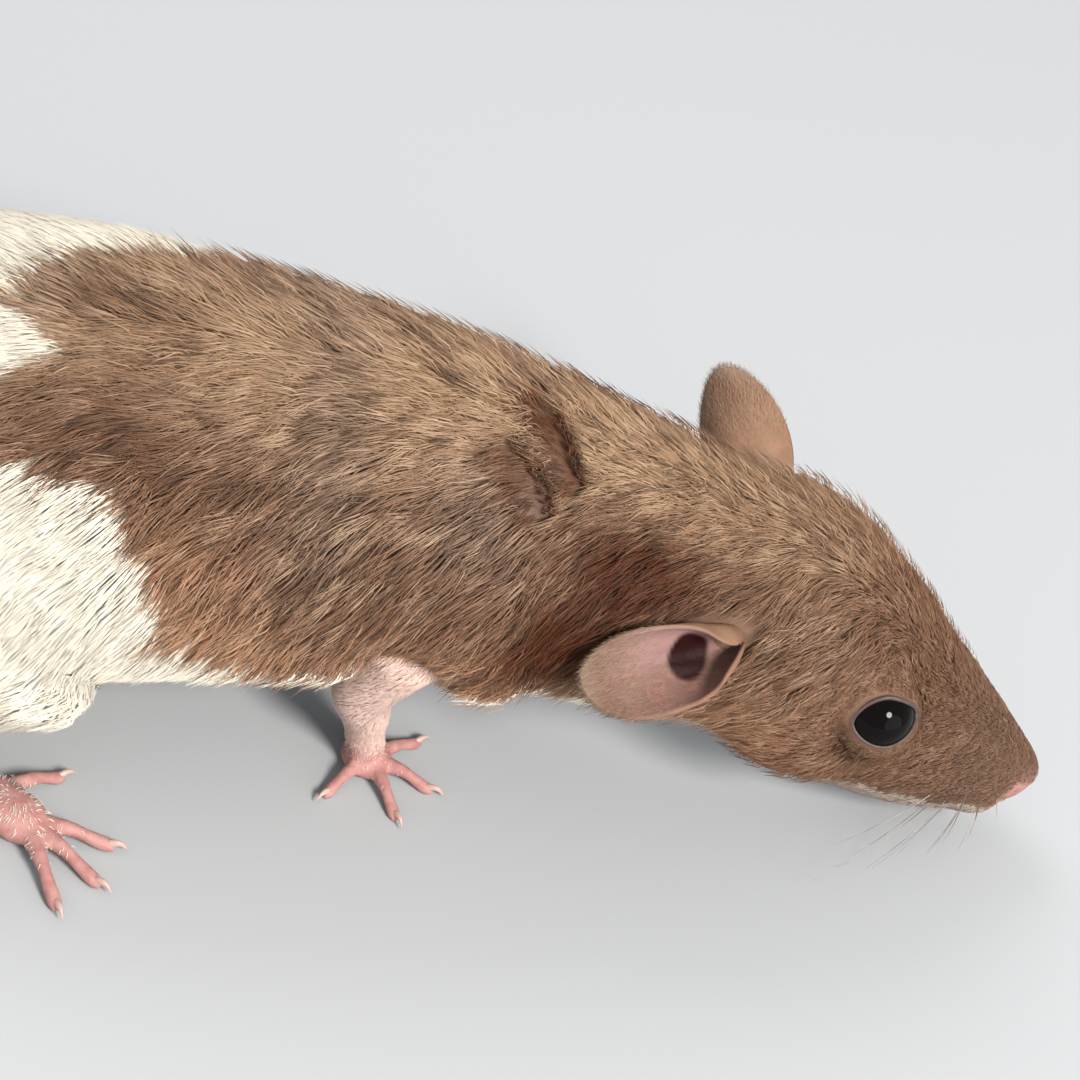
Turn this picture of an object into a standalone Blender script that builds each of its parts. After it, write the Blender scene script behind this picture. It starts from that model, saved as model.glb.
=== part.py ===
# A young dwarf rat that stands on level ground, life-size, nose along +X and its left side along +Y.
# The flesh is modelled as one skin, out to the tips of the coat, and is then parted by thin cuts.
# The origin is on the ground, under the middle of the rat's bounding box.

import math

import bmesh
import bpy
import numpy as np
from mathutils import Matrix, Vector
from mathutils.bvhtree import BVHTree

MM = 0.001
GAP = 0.3 * MM

# Head. Its own frame has its origin at the tip of the nose, +X forward, +Y left and +Z up.
NOSE_HEIGHT = 9.0 * MM
NOSE_ASIDE = -1.8 * MM
HEAD_PITCH = math.radians(25.0)
HEAD_YAW = math.radians(-2.5)
HEAD_ROLL = math.radians(4.0)

EYE_BACK = 24.5 * MM
EYE_ASIDE = 8.3 * MM
EYE_UP = 1.6 * MM
EYE_RADIUS = 3.6 * MM
EYE_OPENING = (3.2 * MM, 2.4 * MM)
EYE_OUT = (-0.05, 0.79, 0.60)
LIDS_ALONG = (0.68, 0.0, 0.73)
LID_BED = 4.5 * MM
LID_BED_SINK = 1.0 * MM
LID_RADIUS = 0.5 * MM

EAR_THICK = 0.9 * MM
RIGHT_EAR_ROWS = ((-0.20, 0.32, 172.0, -0.8), (-0.06, 0.50, 166.0, -0.2), (0.07, 0.64, 146.0, 0.0),
                  (0.20, 0.80, 112.0, 0.0), (0.38, 0.94, 84.0, 0.2), (0.57, 1.0, 66.0, 0.3),
                  (0.76, 0.94, 54.0, 0.1), (0.90, 0.70, 42.0, -0.3), (0.97, 0.42, 32.0, -0.6),
                  (1.0, 0.16, 26.0, -0.8))
LEFT_EAR_ROWS = ((-0.15, 0.60, 128.0, 0.0), (0.0, 0.74, 118.0, 0.0), (0.18, 0.90, 100.0, 0.0),
                 (0.38, 1.0, 80.0, 0.2), (0.58, 0.95, 64.0, 0.3), (0.76, 0.78, 52.0, 0.1),
                 (0.90, 0.53, 42.0, -0.3), (0.97, 0.32, 34.0, -0.6), (1.0, 0.15, 28.0, -0.8))
# Name, root in the head's frame, way along the ear and way that its cup faces in the rat's, length, half width
# and rows
EARS = (("ear_right", (-44.9, -11.4, -0.1), (-0.88, -0.43, -0.18), (0.40, -0.66, 0.63), 13.3 * MM, 4.4 * MM,
         RIGHT_EAR_ROWS),
        ("ear_left", (-41.3, 11.0, -1.0), (-0.28, 0.81, 0.52), (0.30, 0.32, -0.33), 12.9 * MM, 4.65 * MM,
         LEFT_EAR_ROWS))

NOSTRIL_SIZE = (0.75 * MM, 0.42 * MM, 0.5 * MM)
MOUTH_RADIUS = 0.32 * MM

# Trunk, measured back from the nose
HIP_BACK = 111.0 * MM

# Legs: the side, the place of the middle of the paw or foot, and which way it points
RIGHT, LEFT = -1.0, 1.0
FORELEGS = ((RIGHT, -68.2, -10.0, math.radians(-42.0)), (LEFT, -60.0, 10.5, math.radians(25.0)))
HINDLEGS = ((RIGHT, -101.0, -25.4, math.radians(-34.0)), (LEFT, -104.0, 24.0, math.radians(20.0)))

# Toes: how far each spreads from the way the foot points, in degrees, and its length
FORE_TOES = ((86.0, 5.2), (21.0, 5.9), (-25.0, 5.7), (-79.0, 5.3))
MIDDLE_HIND_TOES = ((30.0, 8.5), (0.0, 8.2), (-30.0, 7.4))
OUTER_HIND_TOES = ((58.0, 6.2), (-66.0, 5.6))

# Height of the middle of a forepaw and of a hind foot: the pads end in flats on the ground
PAW_HEIGHT = 0.95 * MM
FOOT_HEIGHT = 1.15 * MM

# Tail, which comes down from the rump and lies on the ground
TAIL_ROOT_RADIUS = 3.6 * MM
TAIL_TIP_RADIUS = 0.9 * MM

# Fusing, smoothing and thinning out of the flesh
VOXEL = 0.42 * MM
FLESH_TRIANGLES = 6200
FLAT_DEPTH = 0.25 * MM


def clear_scene():
    for obj in list(bpy.data.objects):
        bpy.data.objects.remove(obj)


def material(name, colour, roughness):
    mat = bpy.data.materials.get(name)
    if mat is None:
        mat = bpy.data.materials.new(name)
        mat.use_nodes = True
        shader = mat.node_tree.nodes["Principled BSDF"]
        shader.inputs["Base Color"].default_value = (*colour, 1.0)
        shader.inputs["Roughness"].default_value = roughness
    return mat


def new_object(name, bm):
    mesh = bpy.data.meshes.new(name)
    bm.to_mesh(mesh)
    bm.free()
    obj = bpy.data.objects.new(name, mesh)
    bpy.context.scene.collection.objects.link(obj)
    return obj


def evaluated_copy(obj):
    """The mesh of an object with its modifiers applied, as a new bmesh."""
    depsgraph = bpy.context.evaluated_depsgraph_get()
    source = obj.evaluated_get(depsgraph)
    bm = bmesh.new()
    bm.from_mesh(source.to_mesh())
    source.to_mesh_clear()
    return bm


def replace_mesh(obj, bm):
    """Put a bmesh in place of an object's mesh and drop its modifiers."""
    bm.to_mesh(obj.data)
    bm.free()
    obj.modifiers.clear()


def at(x, y, z):
    """A place given in millimetres."""
    return Matrix.Translation(Vector((x, y, z)) * MM)


def frame(forward, up):
    """A turn whose +X is forward and whose +Z is as near to up as it can be."""
    forward = forward.normalized()
    across = up.cross(forward).normalized()
    return Matrix((forward, across, forward.cross(across))).transposed().to_4x4()


def head_matrix():
    turn = (Matrix.Rotation(HEAD_YAW, 4, "Z") @ Matrix.Rotation(HEAD_PITCH, 4, "Y")
            @ Matrix.Rotation(HEAD_ROLL, 4, "X"))
    return Matrix.Translation((0.0, NOSE_ASIDE, NOSE_HEIGHT)) @ turn


def close_ring(bm, points):
    corners = [bm.verts.new(point) for point in points]
    return [bm.edges.new((corner, corners[(k + 1) % len(corners)])) for k, corner in enumerate(corners)]


def add_ring(bm, place, half_width, half_height, power=2.15, count=36):
    """A rounded ring across the X axis of a matrix."""
    points = []
    for step in range(count):
        angle = 2.0 * math.pi * step / count
        across = math.copysign(abs(math.cos(angle)) ** (2.0 / power), math.cos(angle)) * half_width
        up = math.copysign(abs(math.sin(angle)) ** (2.0 / power), math.sin(angle)) * half_height
        points.append(place @ Vector((0.0, across, up)))
    return close_ring(bm, points)


def add_loft(bm, rings):
    """Join rings into one closed tube with a cap at either end."""
    for first, second in zip(rings, rings[1:]):
        bmesh.ops.bridge_loops(bm, edges=first + second)
    for end in (rings[0], rings[-1]):
        bmesh.ops.contextual_create(bm, geom=end)


def smooth_values(knots, count):
    """Rows read at equal steps from a smooth curve through the knots' rows."""
    knots = np.array(knots, dtype=float)
    rows = []
    for place in np.linspace(0.0, len(knots) - 1.0, count):
        k = min(int(place), len(knots) - 2)
        t = place - k
        before, a, b = knots[max(k - 1, 0)], knots[k], knots[k + 1]
        after = knots[min(k + 2, len(knots) - 1)]
        rows.append(0.5 * (2.0 * a + (b - before) * t + (2.0 * before - 5.0 * a + 4.0 * b - after) * t ** 2
                           + (3.0 * a - before - 3.0 * b + after) * t ** 3))
    return np.array(rows)


def add_tube(bm, knots, flat=1.0, count=24, sides=18):
    """A closed tapered tube along a smooth curve. A knot is x, y, z and the radius, in millimetres."""
    rows = smooth_values(knots, count) * MM
    rings = []
    for k, row in enumerate(rows):
        ahead = Vector(rows[min(k + 1, count - 1)][:3]) - Vector(rows[max(k - 1, 0)][:3])
        place = Matrix.Translation(row[:3]) @ frame(ahead, Vector((0.02, 0.0, 1.0)))
        rings.append(add_ring(bm, place, row[3], row[3] * flat, 2.0, sides))
    add_loft(bm, rings)


def add_ball(bm, place, radii, detail=3):
    """An ellipsoid. The radii are in millimetres."""
    size = Matrix.Diagonal((*[radius * MM for radius in radii], 1.0))
    bmesh.ops.create_icosphere(bm, subdivisions=detail, radius=1.0, matrix=place @ size)


def add_trunk(bm, head):
    """Head, neck and trunk as one tube. Head rows are the distance back, centre height, half width and half
    height in the head's frame. Body rows are the same above the ground, with the section's pitch."""
    head_rows = ((0.3, -1.4, 1.5, 1.6), (1.6, -2.1, 3.2, 3.1), (5.0, -3.2, 5.2, 5.4), (10.0, -3.8, 7.2, 7.8),
                 (14.5, -3.9, 8.5, 9.4), (19.5, -3.5, 9.8, 10.7), (25.0, -3.0, 11.4, 12.2),
                 (31.0, -2.3, 12.8, 13.2), (37.0, -1.7, 13.6, 13.6))
    body_rows = ((46.0, 24.2, 14.2, 14.0, 20.0), (56.0, 26.0, 14.9, 15.0, 10.0), (65.0, 26.6, 16.7, 16.4, 3.0),
                 (76.0, 26.6, 18.8, 17.7, 0.0), (90.0, 25.7, 21.8, 18.3, 0.0), (103.0, 24.4, 24.2, 18.8, 0.0),
                 (115.0, 23.0, 24.4, 18.4, -3.0), (126.0, 21.3, 21.0, 16.5, -6.0),
                 (134.5, 19.8, 15.2, 12.8, -9.0), (140.0, 18.8, 9.0, 8.5, -10.0), (142.6, 18.2, 3.5, 3.5, -10.0))
    rings = []
    for back, height, wide, tall in smooth_values(head_rows, 22):
        rings.append(add_ring(bm, head @ at(-back, 0.0, height), wide * MM, tall * MM))
    for back, height, wide, tall, pitch in smooth_values(body_rows, 26):
        place = at(-back, 0.0, height) @ Matrix.Rotation(math.radians(pitch), 4, "Y")
        rings.append(add_ring(bm, place, wide * MM, tall * MM))
    add_loft(bm, rings)


def add_face(bm, head):
    """The nose, lower jaw, whisker pads, brows, cheeks and lids that stand out from the head's tube."""
    add_ball(bm, head @ at(-1.5, 0.0, -1.0), (1.8, 2.1, 1.7))
    jaw = head @ at(-9.9, 0.0, -9.6) @ Matrix.Rotation(math.radians(-10.0), 4, "Y")
    add_ball(bm, jaw, (7.2, 3.6, 3.0))
    for side in (RIGHT, LEFT):
        add_ball(bm, head @ at(-6.8, side * 3.0, -4.6), (5.2, 2.9, 3.2))
        add_ball(bm, head @ at(-29.3, side * 8.0, 4.3), (4.8, 2.4, 2.5))
        add_ball(bm, head @ at(-30.0, side * 8.2, -5.2), (9.5, 5.2, 6.2))
        bed = eye_matrix(head, side) @ Matrix.Translation((0.0, 0.0, -LID_BED_SINK))
        add_ball(bm, bed, [LID_BED / MM] * 3)
        add_lids(bm, eye_matrix(head, side))


def eye_matrix(head, side):
    """The eyeball's place. Its +Z looks out of the socket and its +X runs along the lids to the nose."""
    out = Vector((EYE_OUT[0], side * EYE_OUT[1], EYE_OUT[2])).normalized()
    along = Vector(LIDS_ALONG)
    turn = frame(along - out * out.dot(along), out)
    return head @ Matrix.Translation((-EYE_BACK, side * EYE_ASIDE, EYE_UP)) @ turn


def add_lids(bm, place, count=24):
    """An almond ring of lid that laps over the front of the eyeball."""
    over = EYE_RADIUS + GAP + 0.4 * LID_RADIUS
    rings = []
    for step in range(count):
        angle = 2.0 * math.pi * step / count
        x = math.cos(angle) * (EYE_OPENING[0] + LID_RADIUS)
        y = math.sin(angle) * (EYE_OPENING[1] + LID_RADIUS) * (1.0 - 0.12 * math.cos(angle))
        lift = math.sqrt(over ** 2 - x ** 2 - y ** 2)
        turn = Matrix.Rotation(angle + math.pi / 2.0, 4, "Z")
        spot = place @ Matrix.Translation((x, y, lift)) @ turn
        rings.append(add_ring(bm, spot, LID_RADIUS, LID_RADIUS * 1.2, 2.0, 10))
    for first, second in zip(rings, rings[1:] + rings[:1]):
        bmesh.ops.bridge_loops(bm, edges=first + second)


def add_toe(bm, place, start, length, radius):
    """A knuckled toe that arches and comes down to its pad, with the claw at its end."""
    rows = ((0.0, 0.4, 1.15), (0.35, 0.5, 1.0), (0.65, 0.0, 0.85), (0.88, -0.55, 0.95), (1.0, -0.7, 0.6))
    knots = []
    for along, up, thick in rows:
        point = place @ (Vector((start + along * length, 0.0, up)) * MM)
        knots.append((*(point / MM), thick * radius))
    add_tube(bm, knots, 1.0, 9, 10)


def add_foreleg(bm, side, foot_x, foot_y, turn):
    """Shoulder, forearm and a paw with four wide-spread toes and a short thumb."""
    add_ball(bm, at(foot_x + 2.5, side * 12.0, 24.5), (10.8, 6.0, 11.2))
    add_tube(bm, ((foot_x - 0.5, side * 13.0, 21.0, 6.0), (foot_x - 3.2, foot_y + side * 1.6, 13.0, 4.3),
                  (foot_x - 2.0, foot_y + side * 0.5, 8.4, 3.1), (foot_x - 1.2, foot_y, 5.0, 2.3),
                  (foot_x - 0.6, foot_y, 2.6, 2.1)))
    paw = at(foot_x, foot_y, PAW_HEIGHT / MM) @ Matrix.Rotation(turn, 4, "Z")
    add_ball(bm, paw @ at(-0.2, 0.0, 0.2), (2.7, 2.4, 1.6))
    for spread, length in FORE_TOES:
        place = paw @ Matrix.Rotation(side * math.radians(spread), 4, "Z")
        add_toe(bm, place, 1.4, length, 0.72)
    add_toe(bm, paw @ Matrix.Rotation(-side * math.radians(122.0), 4, "Z"), 0.8, 2.2, 0.6)


def add_hindleg(bm, side, foot_x, foot_y, turn):
    """Haunch, shank and a long foot with five toes."""
    haunch = at(-HIP_BACK / MM, side * 16.0, 20.0) @ Matrix.Rotation(math.radians(25.0), 4, "Y")
    add_ball(bm, haunch, (17.5, 10.2, 14.5))
    foot = at(foot_x, foot_y, FOOT_HEIGHT / MM) @ Matrix.Rotation(turn, 4, "Z")
    ankle, heel = [foot @ (Vector((back, 0.0, 0.0)) * MM) / MM for back in (-13.5, -15.5)]
    knee_y = (side * 20.0 + ankle.y) / 2.0
    add_tube(bm, ((foot_x - 0.5, side * 19.5, 17.0, 6.6), (foot_x - 8.0, knee_y, 9.5, 4.6),
                  (ankle.x, ankle.y, 5.6, 3.3), (heel.x, heel.y, 3.0, 2.5)))
    rows = ((-16.5, 0.4, 2.2), (-11.0, 0.2, 2.1), (-5.0, 0.2, 2.5), (0.0, 0.2, 2.8), (2.2, 0.0, 2.1))
    knots = []
    for ahead, up, thick in rows:
        point = foot @ (Vector((ahead, 0.0, up)) * MM)
        knots.append((*(point / MM), thick))
    add_tube(bm, knots, 0.72, 16, 14)
    for spread, length in MIDDLE_HIND_TOES:
        place = foot @ at(0.4, 0.0, 0.0) @ Matrix.Rotation(side * math.radians(spread), 4, "Z")
        add_toe(bm, place, 1.6, length, 0.8)
    for spread, length in OUTER_HIND_TOES:
        edge = math.copysign(1.0, side * spread)
        place = foot @ at(-3.2, edge * 1.5, 0.0) @ Matrix.Rotation(side * math.radians(spread), 4, "Z")
        add_toe(bm, place, 1.0, length, 0.75)


def tail_route():
    """Rows of x, y, z and radius along the tail, in millimetres: down from the rump, then along the ground."""
    root, tip, low = TAIL_ROOT_RADIUS / MM, TAIL_TIP_RADIUS / MM, FLAT_DEPTH / MM
    places = ((-133.0, 0.0, 19.0), (-141.0, 0.0, 17.5), (-148.5, 0.5, 12.0), (-155.5, 1.8, 6.0),
              (-164.0, 3.5, 0.0), (-178.0, 5.5, 0.0), (-194.0, 4.0, 0.0), (-209.0, -1.5, 0.0),
              (-222.0, -9.5, 0.0), (-231.0, -18.5, 0.0))
    rows = []
    for k, (x, y, z) in enumerate(places):
        radius = root + (tip - root) * (k / (len(places) - 1.0)) ** 0.8
        rows.append((x, y, max(z, radius - low), radius))
    return rows


def build_flesh(head):
    """All the flesh as one closed skin: separate forms, fused, smoothed and thinned out."""
    bm = bmesh.new()
    add_trunk(bm, head)
    add_face(bm, head)
    for leg in FORELEGS:
        add_foreleg(bm, *leg)
    for leg in HINDLEGS:
        add_hindleg(bm, *leg)
    add_tube(bm, tail_route(), 1.0, 60, 16)
    bmesh.ops.recalc_face_normals(bm, faces=bm.faces)
    flesh = new_object("flesh", bm)
    fuse = flesh.modifiers.new("fuse", "REMESH")
    fuse.mode = "VOXEL"
    fuse.voxel_size = VOXEL
    bm = evaluated_copy(flesh)
    soften(bm, head)
    replace_mesh(flesh, bm)
    thin = flesh.modifiers.new("thin", "DECIMATE")
    thin.ratio = FLESH_TRIANGLES / (2.0 * len(flesh.data.polygons))
    bm = evaluated_copy(flesh)
    slice_off(bm, Vector((0.0, 0.0, 0.0)), Vector((0.0, 0.0, -1.0)))
    replace_mesh(flesh, bm)
    return flesh


def soften(bm, head):
    """Smooth the joins between the forms: most on the trunk, least on the face and toes."""
    to_head = head.inverted()
    low, tail, face, most = 4.5 * MM, -150.0 * MM, 27.0, 30

    def rounds(point):
        if point.z < low or point.x < tail:
            return 3
        return min(max(3 + int((-(to_head @ point).x / MM - face) * 2.0), 3), most)

    wanted = {vert: rounds(vert.co) for vert in bm.verts}
    for turn in range(most):
        verts = [vert for vert in bm.verts if wanted[vert] > turn]
        bmesh.ops.smooth_vert(bm, verts=verts, factor=0.5, use_axis_x=True, use_axis_y=True, use_axis_z=True)


def slice_off(bm, point, normal):
    """Cut away what lies beyond a plane, on its normal's side, and close the cut."""
    geometry = bm.verts[:] + bm.edges[:] + bm.faces[:]
    bmesh.ops.bisect_plane(bm, geom=geometry, dist=1e-7, plane_co=point, plane_no=normal, clear_outer=True)
    rim = [edge for edge in bm.edges if edge.is_boundary]
    bmesh.ops.holes_fill(bm, edges=rim, sides=0)
    bmesh.ops.recalc_face_normals(bm, faces=bm.faces)


def mouth_cutter(tree, head, count=15):
    """A thin bent rod along the line where the lips meet."""
    start = head @ (Vector((-7.5, 0.0, -6.6)) * MM)
    rows = []
    for step in range(count):
        angle = math.radians(-118.0 + 236.0 * step / (count - 1.0))
        way = head.to_3x3() @ Vector((math.cos(angle), 0.75 * math.sin(angle), -0.12 - 0.10 * math.cos(angle)))
        rows.append((*(tree.ray_cast(start, way.normalized())[0] / MM), MOUTH_RADIUS / MM))
    bm = bmesh.new()
    add_tube(bm, rows, 1.0, 40, 6)
    bmesh.ops.recalc_face_normals(bm, faces=bm.faces)
    return new_object("mouth_line", bm)


def nostril_cutter(tree, head, side):
    """A short slanted hollow in the side of the nose."""
    start = head @ (Vector((-2.4, 0.0, -1.0)) * MM)
    way = head.to_3x3() @ Vector((0.8, side * 0.62, -0.05))
    place = Matrix.Translation(tree.ray_cast(start, way.normalized())[0]) @ head.to_3x3().to_4x4()
    bm = bmesh.new()
    add_ball(bm, place, [size / MM for size in NOSTRIL_SIZE], 1)
    return new_object("nostril", bm)


def eyeball(name, place, radius):
    bm = bmesh.new()
    bmesh.ops.create_uvsphere(bm, u_segments=16, v_segments=10, radius=radius, matrix=place)
    return new_object(name, bm)


def boolean(obj, others, operation):
    """Cut others from an object, or keep what it shares with them. The others are removed."""
    group = bpy.data.collections.new("operands")
    bpy.context.scene.collection.children.link(group)
    for other in others:
        group.objects.link(other)
    modifier = obj.modifiers.new("cut", "BOOLEAN")
    modifier.operation = operation
    modifier.solver = "EXACT"
    modifier.operand_type = "COLLECTION"
    modifier.collection = group
    bm = evaluated_copy(obj)
    keep_largest(bm)
    replace_mesh(obj, bm)
    for other in others:
        bpy.data.objects.remove(other)
    bpy.data.collections.remove(group)


def keep_largest(bm):
    """Drop all but the largest closed surface."""
    left = set(bm.faces)
    largest = []
    while left:
        piece = [left.pop()]
        for face in piece:
            for edge in face.edges:
                for other in edge.link_faces:
                    if other in left:
                        left.remove(other)
                        piece.append(other)
        if len(piece) > len(largest):
            largest = piece
    keep = set(largest)
    bmesh.ops.delete(bm, geom=[face for face in bm.faces if face not in keep], context="FACES")


def ear(name, root, along, facing, length, half_width, rows):
    """A thin cupped leaf with a folded, funnel-like root. Rows are the place along the ear, its half width,
    half the angle that its cup bends through, in degrees, and how far it leans back."""
    place = Matrix.Translation(head @ (Vector(root) * MM)) @ frame(Vector(along), Vector(facing))
    bm = bmesh.new()
    rings = []
    for t, width, bend, lean in smooth_values(rows, 17):
        bend = math.radians(bend)
        radius = width * half_width / math.sin(min(bend, math.pi / 2.0))
        thick = EAR_THICK * (1.0 - 0.4 * max(t, 0.0))
        steps = np.linspace(-1.0, 1.0, 11)
        outer = [(radius, s * bend) for s in steps]
        inner = [(radius - thick * (1.0 - 0.35 * s * s), s * bend * 0.985) for s in steps[::-1]]
        points = []
        for reach, angle in outer + inner:
            up = radius - reach * math.cos(angle) + lean * MM
            points.append(place @ Vector((t * length, reach * math.sin(angle), up)))
        rings.append(close_ring(bm, points))
    add_loft(bm, rings)
    bmesh.ops.recalc_face_normals(bm, faces=bm.faces)
    bmesh.ops.triangulate(bm, faces=bm.faces)
    return new_object(name, bm)


def swollen(obj, grow):
    """A copy of an object, a little larger all round."""
    copy = obj.copy()
    copy.data = obj.data.copy()
    bpy.context.scene.collection.objects.link(copy)
    bm = bmesh.new()
    bm.from_mesh(copy.data)
    bm.normal_update()
    for vert in bm.verts:
        vert.co += vert.normal * grow * max(vert.calc_shell_factor(), 1.0)
    replace_mesh(copy, bm)
    return copy


def leg_region(centre, radii, box_low, box_high, grow):
    """The space that one leg takes: a ball round its thick upper part and a box round its foot."""
    bm = bmesh.new()
    grow = grow / MM
    add_ball(bm, at(*centre), [radius + grow for radius in radii], 2)
    ball = new_object("ball", bm)
    bm = bmesh.new()
    low, high = Vector(box_low), Vector(box_high)
    size = high - low + Vector((2.0, 2.0, 2.0)) * grow
    middle = (low + high) / 2.0
    bmesh.ops.create_cube(bm, size=1.0, matrix=at(*middle) @ Matrix.Diagonal((*(size * MM), 1.0)))
    boolean(ball, [new_object("box", bm)], "UNION")
    return ball


def part_leg(flesh, name, region):
    """Part a leg from the rest of the flesh, with a thin gap between them."""
    leg = flesh.copy()
    leg.data = flesh.data.copy()
    leg.name = name
    bpy.context.scene.collection.objects.link(leg)
    boolean(leg, [leg_region(*region, 0.0)], "INTERSECT")
    boolean(flesh, [leg_region(*region, GAP)], "DIFFERENCE")


def part_lengths(flesh, names, cuts):
    """Part the rest of the flesh along its length. A cut is a point and the way back along the body."""
    for k, name in enumerate(names):
        bm = bmesh.new()
        bm.from_mesh(flesh.data)
        if k > 0:
            point, back = cuts[k - 1]
            slice_off(bm, point + back * GAP / 2.0, -back)
        if k < len(cuts):
            point, back = cuts[k]
            slice_off(bm, point - back * GAP / 2.0, back)
        keep_largest(bm)
        new_object(name, bm)
    bpy.data.objects.remove(flesh)


def body_cuts():
    """Where the head, neck and trunk part, and where the tail does."""
    cuts = []
    for x, z, pitch in ((-41.0, 22.0, 22.0), (-56.0, 26.0, 10.0), (-91.0, 25.0, 0.0)):
        back = Matrix.Rotation(math.radians(pitch), 3, "Y") @ Vector((-1.0, 0.0, 0.0))
        cuts.append((Vector((x, 0.0, z)) * MM, back))
    route = smooth_values(tail_route(), 91)
    for k in (12, 36, 55, 72):
        back = Vector(route[k + 1][:3]) - Vector(route[k - 1][:3])
        cuts.append((Vector(route[k][:3]) * MM, back.normalized()))
    return cuts


def settle_origin():
    """Move everything so that the origin is on the ground, under the middle of the box."""
    corners = [vert.co for obj in bpy.data.objects for vert in obj.data.vertices]
    low = Vector([min(corner[axis] for corner in corners) for axis in range(3)])
    high = Vector([max(corner[axis] for corner in corners) for axis in range(3)])
    shift = Vector((-(low.x + high.x) / 2.0, -(low.y + high.y) / 2.0, -low.z))
    for obj in bpy.data.objects:
        obj.data.transform(Matrix.Translation(shift))


clear_scene()
head = head_matrix()
flesh = build_flesh(head)
bm = bmesh.new()
bm.from_mesh(flesh.data)
skin = BVHTree.FromBMesh(bm)
bm.free()

# Ears, rooted in the head. The right one is laid back and opens upwards, and the left one stands.
for name, *shape in EARS:
    boolean(ear(name, *shape), [swollen(flesh, GAP)], "DIFFERENCE")

# Sockets, nostrils and the line of the mouth
cutters = [mouth_cutter(skin, head)]
for side in (RIGHT, LEFT):
    cutters.append(nostril_cutter(skin, head, side))
    cutters.append(eyeball("socket", eye_matrix(head, side), EYE_RADIUS + GAP))
boolean(flesh, cutters, "DIFFERENCE")
for name, side in (("eye_right", RIGHT), ("eye_left", LEFT)):
    eyeball(name, eye_matrix(head, side), EYE_RADIUS)

# Legs
part_leg(flesh, "foreleg_right",
         ((-70.0, -13.0, 18.5), (12.5, 9.0, 13.5), (-85.0, -26.0, -2.0), (-54.0, -1.5, 8.0)))
part_leg(flesh, "foreleg_left",
         ((-61.0, 13.0, 18.5), (12.5, 9.0, 13.5), (-76.0, 1.5, -2.0), (-45.0, 26.0, 8.0)))
for name, side, x in (("hindleg_right", RIGHT, -109.0), ("hindleg_left", LEFT, -110.5)):
    low, high = sorted((side * 14.0, side * 48.0))
    part_leg(flesh, name,
             ((x, side * 20.0, 18.5), (18.5, 11.5, 15.0), (x - 20.0, low, -2.0), (x + 30.0, high, 7.0)))

# Lengths of the rest
part_lengths(flesh, ("head", "neck", "torso_front", "torso_rear", "tail_1", "tail_2", "tail_3", "tail_4"),
             body_cuts())
settle_origin()

fur = material("fur", (0.32, 0.22, 0.15), 0.9)
white_fur = material("white_fur", (0.75, 0.68, 0.58), 0.9)
bare_skin = material("bare_skin", (0.62, 0.38, 0.31), 0.6)
eye_black = material("eye_black", (0.01, 0.01, 0.01), 0.1)
for obj in bpy.data.objects:
    kind = obj.name.split("_")[0]
    paint = {"eye": eye_black, "ear": bare_skin, "tail": bare_skin, "foreleg": white_fur, "hindleg": white_fur}
    obj.data.materials.clear()
    obj.data.materials.append(paint.get(kind, fur))
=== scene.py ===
# The finished look of a young hooded dwarf rat, a still life-size model that stands on a pale floor.
# Sizes are millimetres in the rat's own frame: its nose is at x = 0 and points along +X, its left side
# is +Y and the ground is z = 0. The last step of each piece carries it into the frame of the solids.

import math

import bmesh
import bpy
import numpy as np
from mathutils import Matrix, Vector
from mathutils.bvhtree import BVHTree
from mathutils.kdtree import KDTree


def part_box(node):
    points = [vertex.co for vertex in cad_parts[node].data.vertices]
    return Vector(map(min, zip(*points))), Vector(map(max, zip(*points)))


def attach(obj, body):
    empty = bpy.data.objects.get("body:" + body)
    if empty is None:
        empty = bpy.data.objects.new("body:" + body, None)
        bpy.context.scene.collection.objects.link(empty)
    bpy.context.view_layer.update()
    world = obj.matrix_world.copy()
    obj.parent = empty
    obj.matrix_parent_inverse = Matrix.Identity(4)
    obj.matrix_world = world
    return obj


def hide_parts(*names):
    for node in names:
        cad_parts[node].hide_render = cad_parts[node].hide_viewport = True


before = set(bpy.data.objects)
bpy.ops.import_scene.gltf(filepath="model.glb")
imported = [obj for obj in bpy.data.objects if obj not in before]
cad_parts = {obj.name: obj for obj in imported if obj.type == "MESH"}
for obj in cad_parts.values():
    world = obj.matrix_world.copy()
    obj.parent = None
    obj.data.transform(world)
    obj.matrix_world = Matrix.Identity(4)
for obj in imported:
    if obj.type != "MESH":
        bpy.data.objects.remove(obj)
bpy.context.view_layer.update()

# Stance
# The two eyes of the solids tell where the head is, and the head tells where the whole rat stands.
# The head hangs a little, is turned slightly towards the right and leans on its right cheek.
NOSE_HEIGHT, NOSE_ASIDE = 9.0, -1.8
HEAD_PITCH, HEAD_YAW, HEAD_ROLL = 25.0, -2.5, 4.0
EYE_BACK, EYE_ASIDE, EYE_UP = 24.5, 8.3, 1.6
RIGHT, LEFT = -1.0, 1.0


def node_middle(node):
    low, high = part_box(node)
    return (Vector(low) + Vector(high)) / 2.0


def at(x, y, z):
    return Matrix.Translation((x, y, z))


def spun(degrees, axis):
    return Matrix.Rotation(math.radians(degrees), 4, axis)


head_turn = spun(HEAD_YAW, "Z") @ spun(HEAD_PITCH, "Y") @ spun(HEAD_ROLL, "X")
head = at(0.0, NOSE_ASIDE, NOSE_HEIGHT) @ head_turn
eyes_middle = (node_middle("eye_right") + node_middle("eye_left")) / 2.0
to_solids = (Matrix.Translation(eyes_middle) @ Matrix.Scale(0.001, 4)
             @ at(*(-(head @ Vector((-EYE_BACK, 0.0, EYE_UP))))))


def linked(name, data):
    made = bpy.data.objects.new(name, data)
    bpy.context.scene.collection.objects.link(made)
    return made


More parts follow.
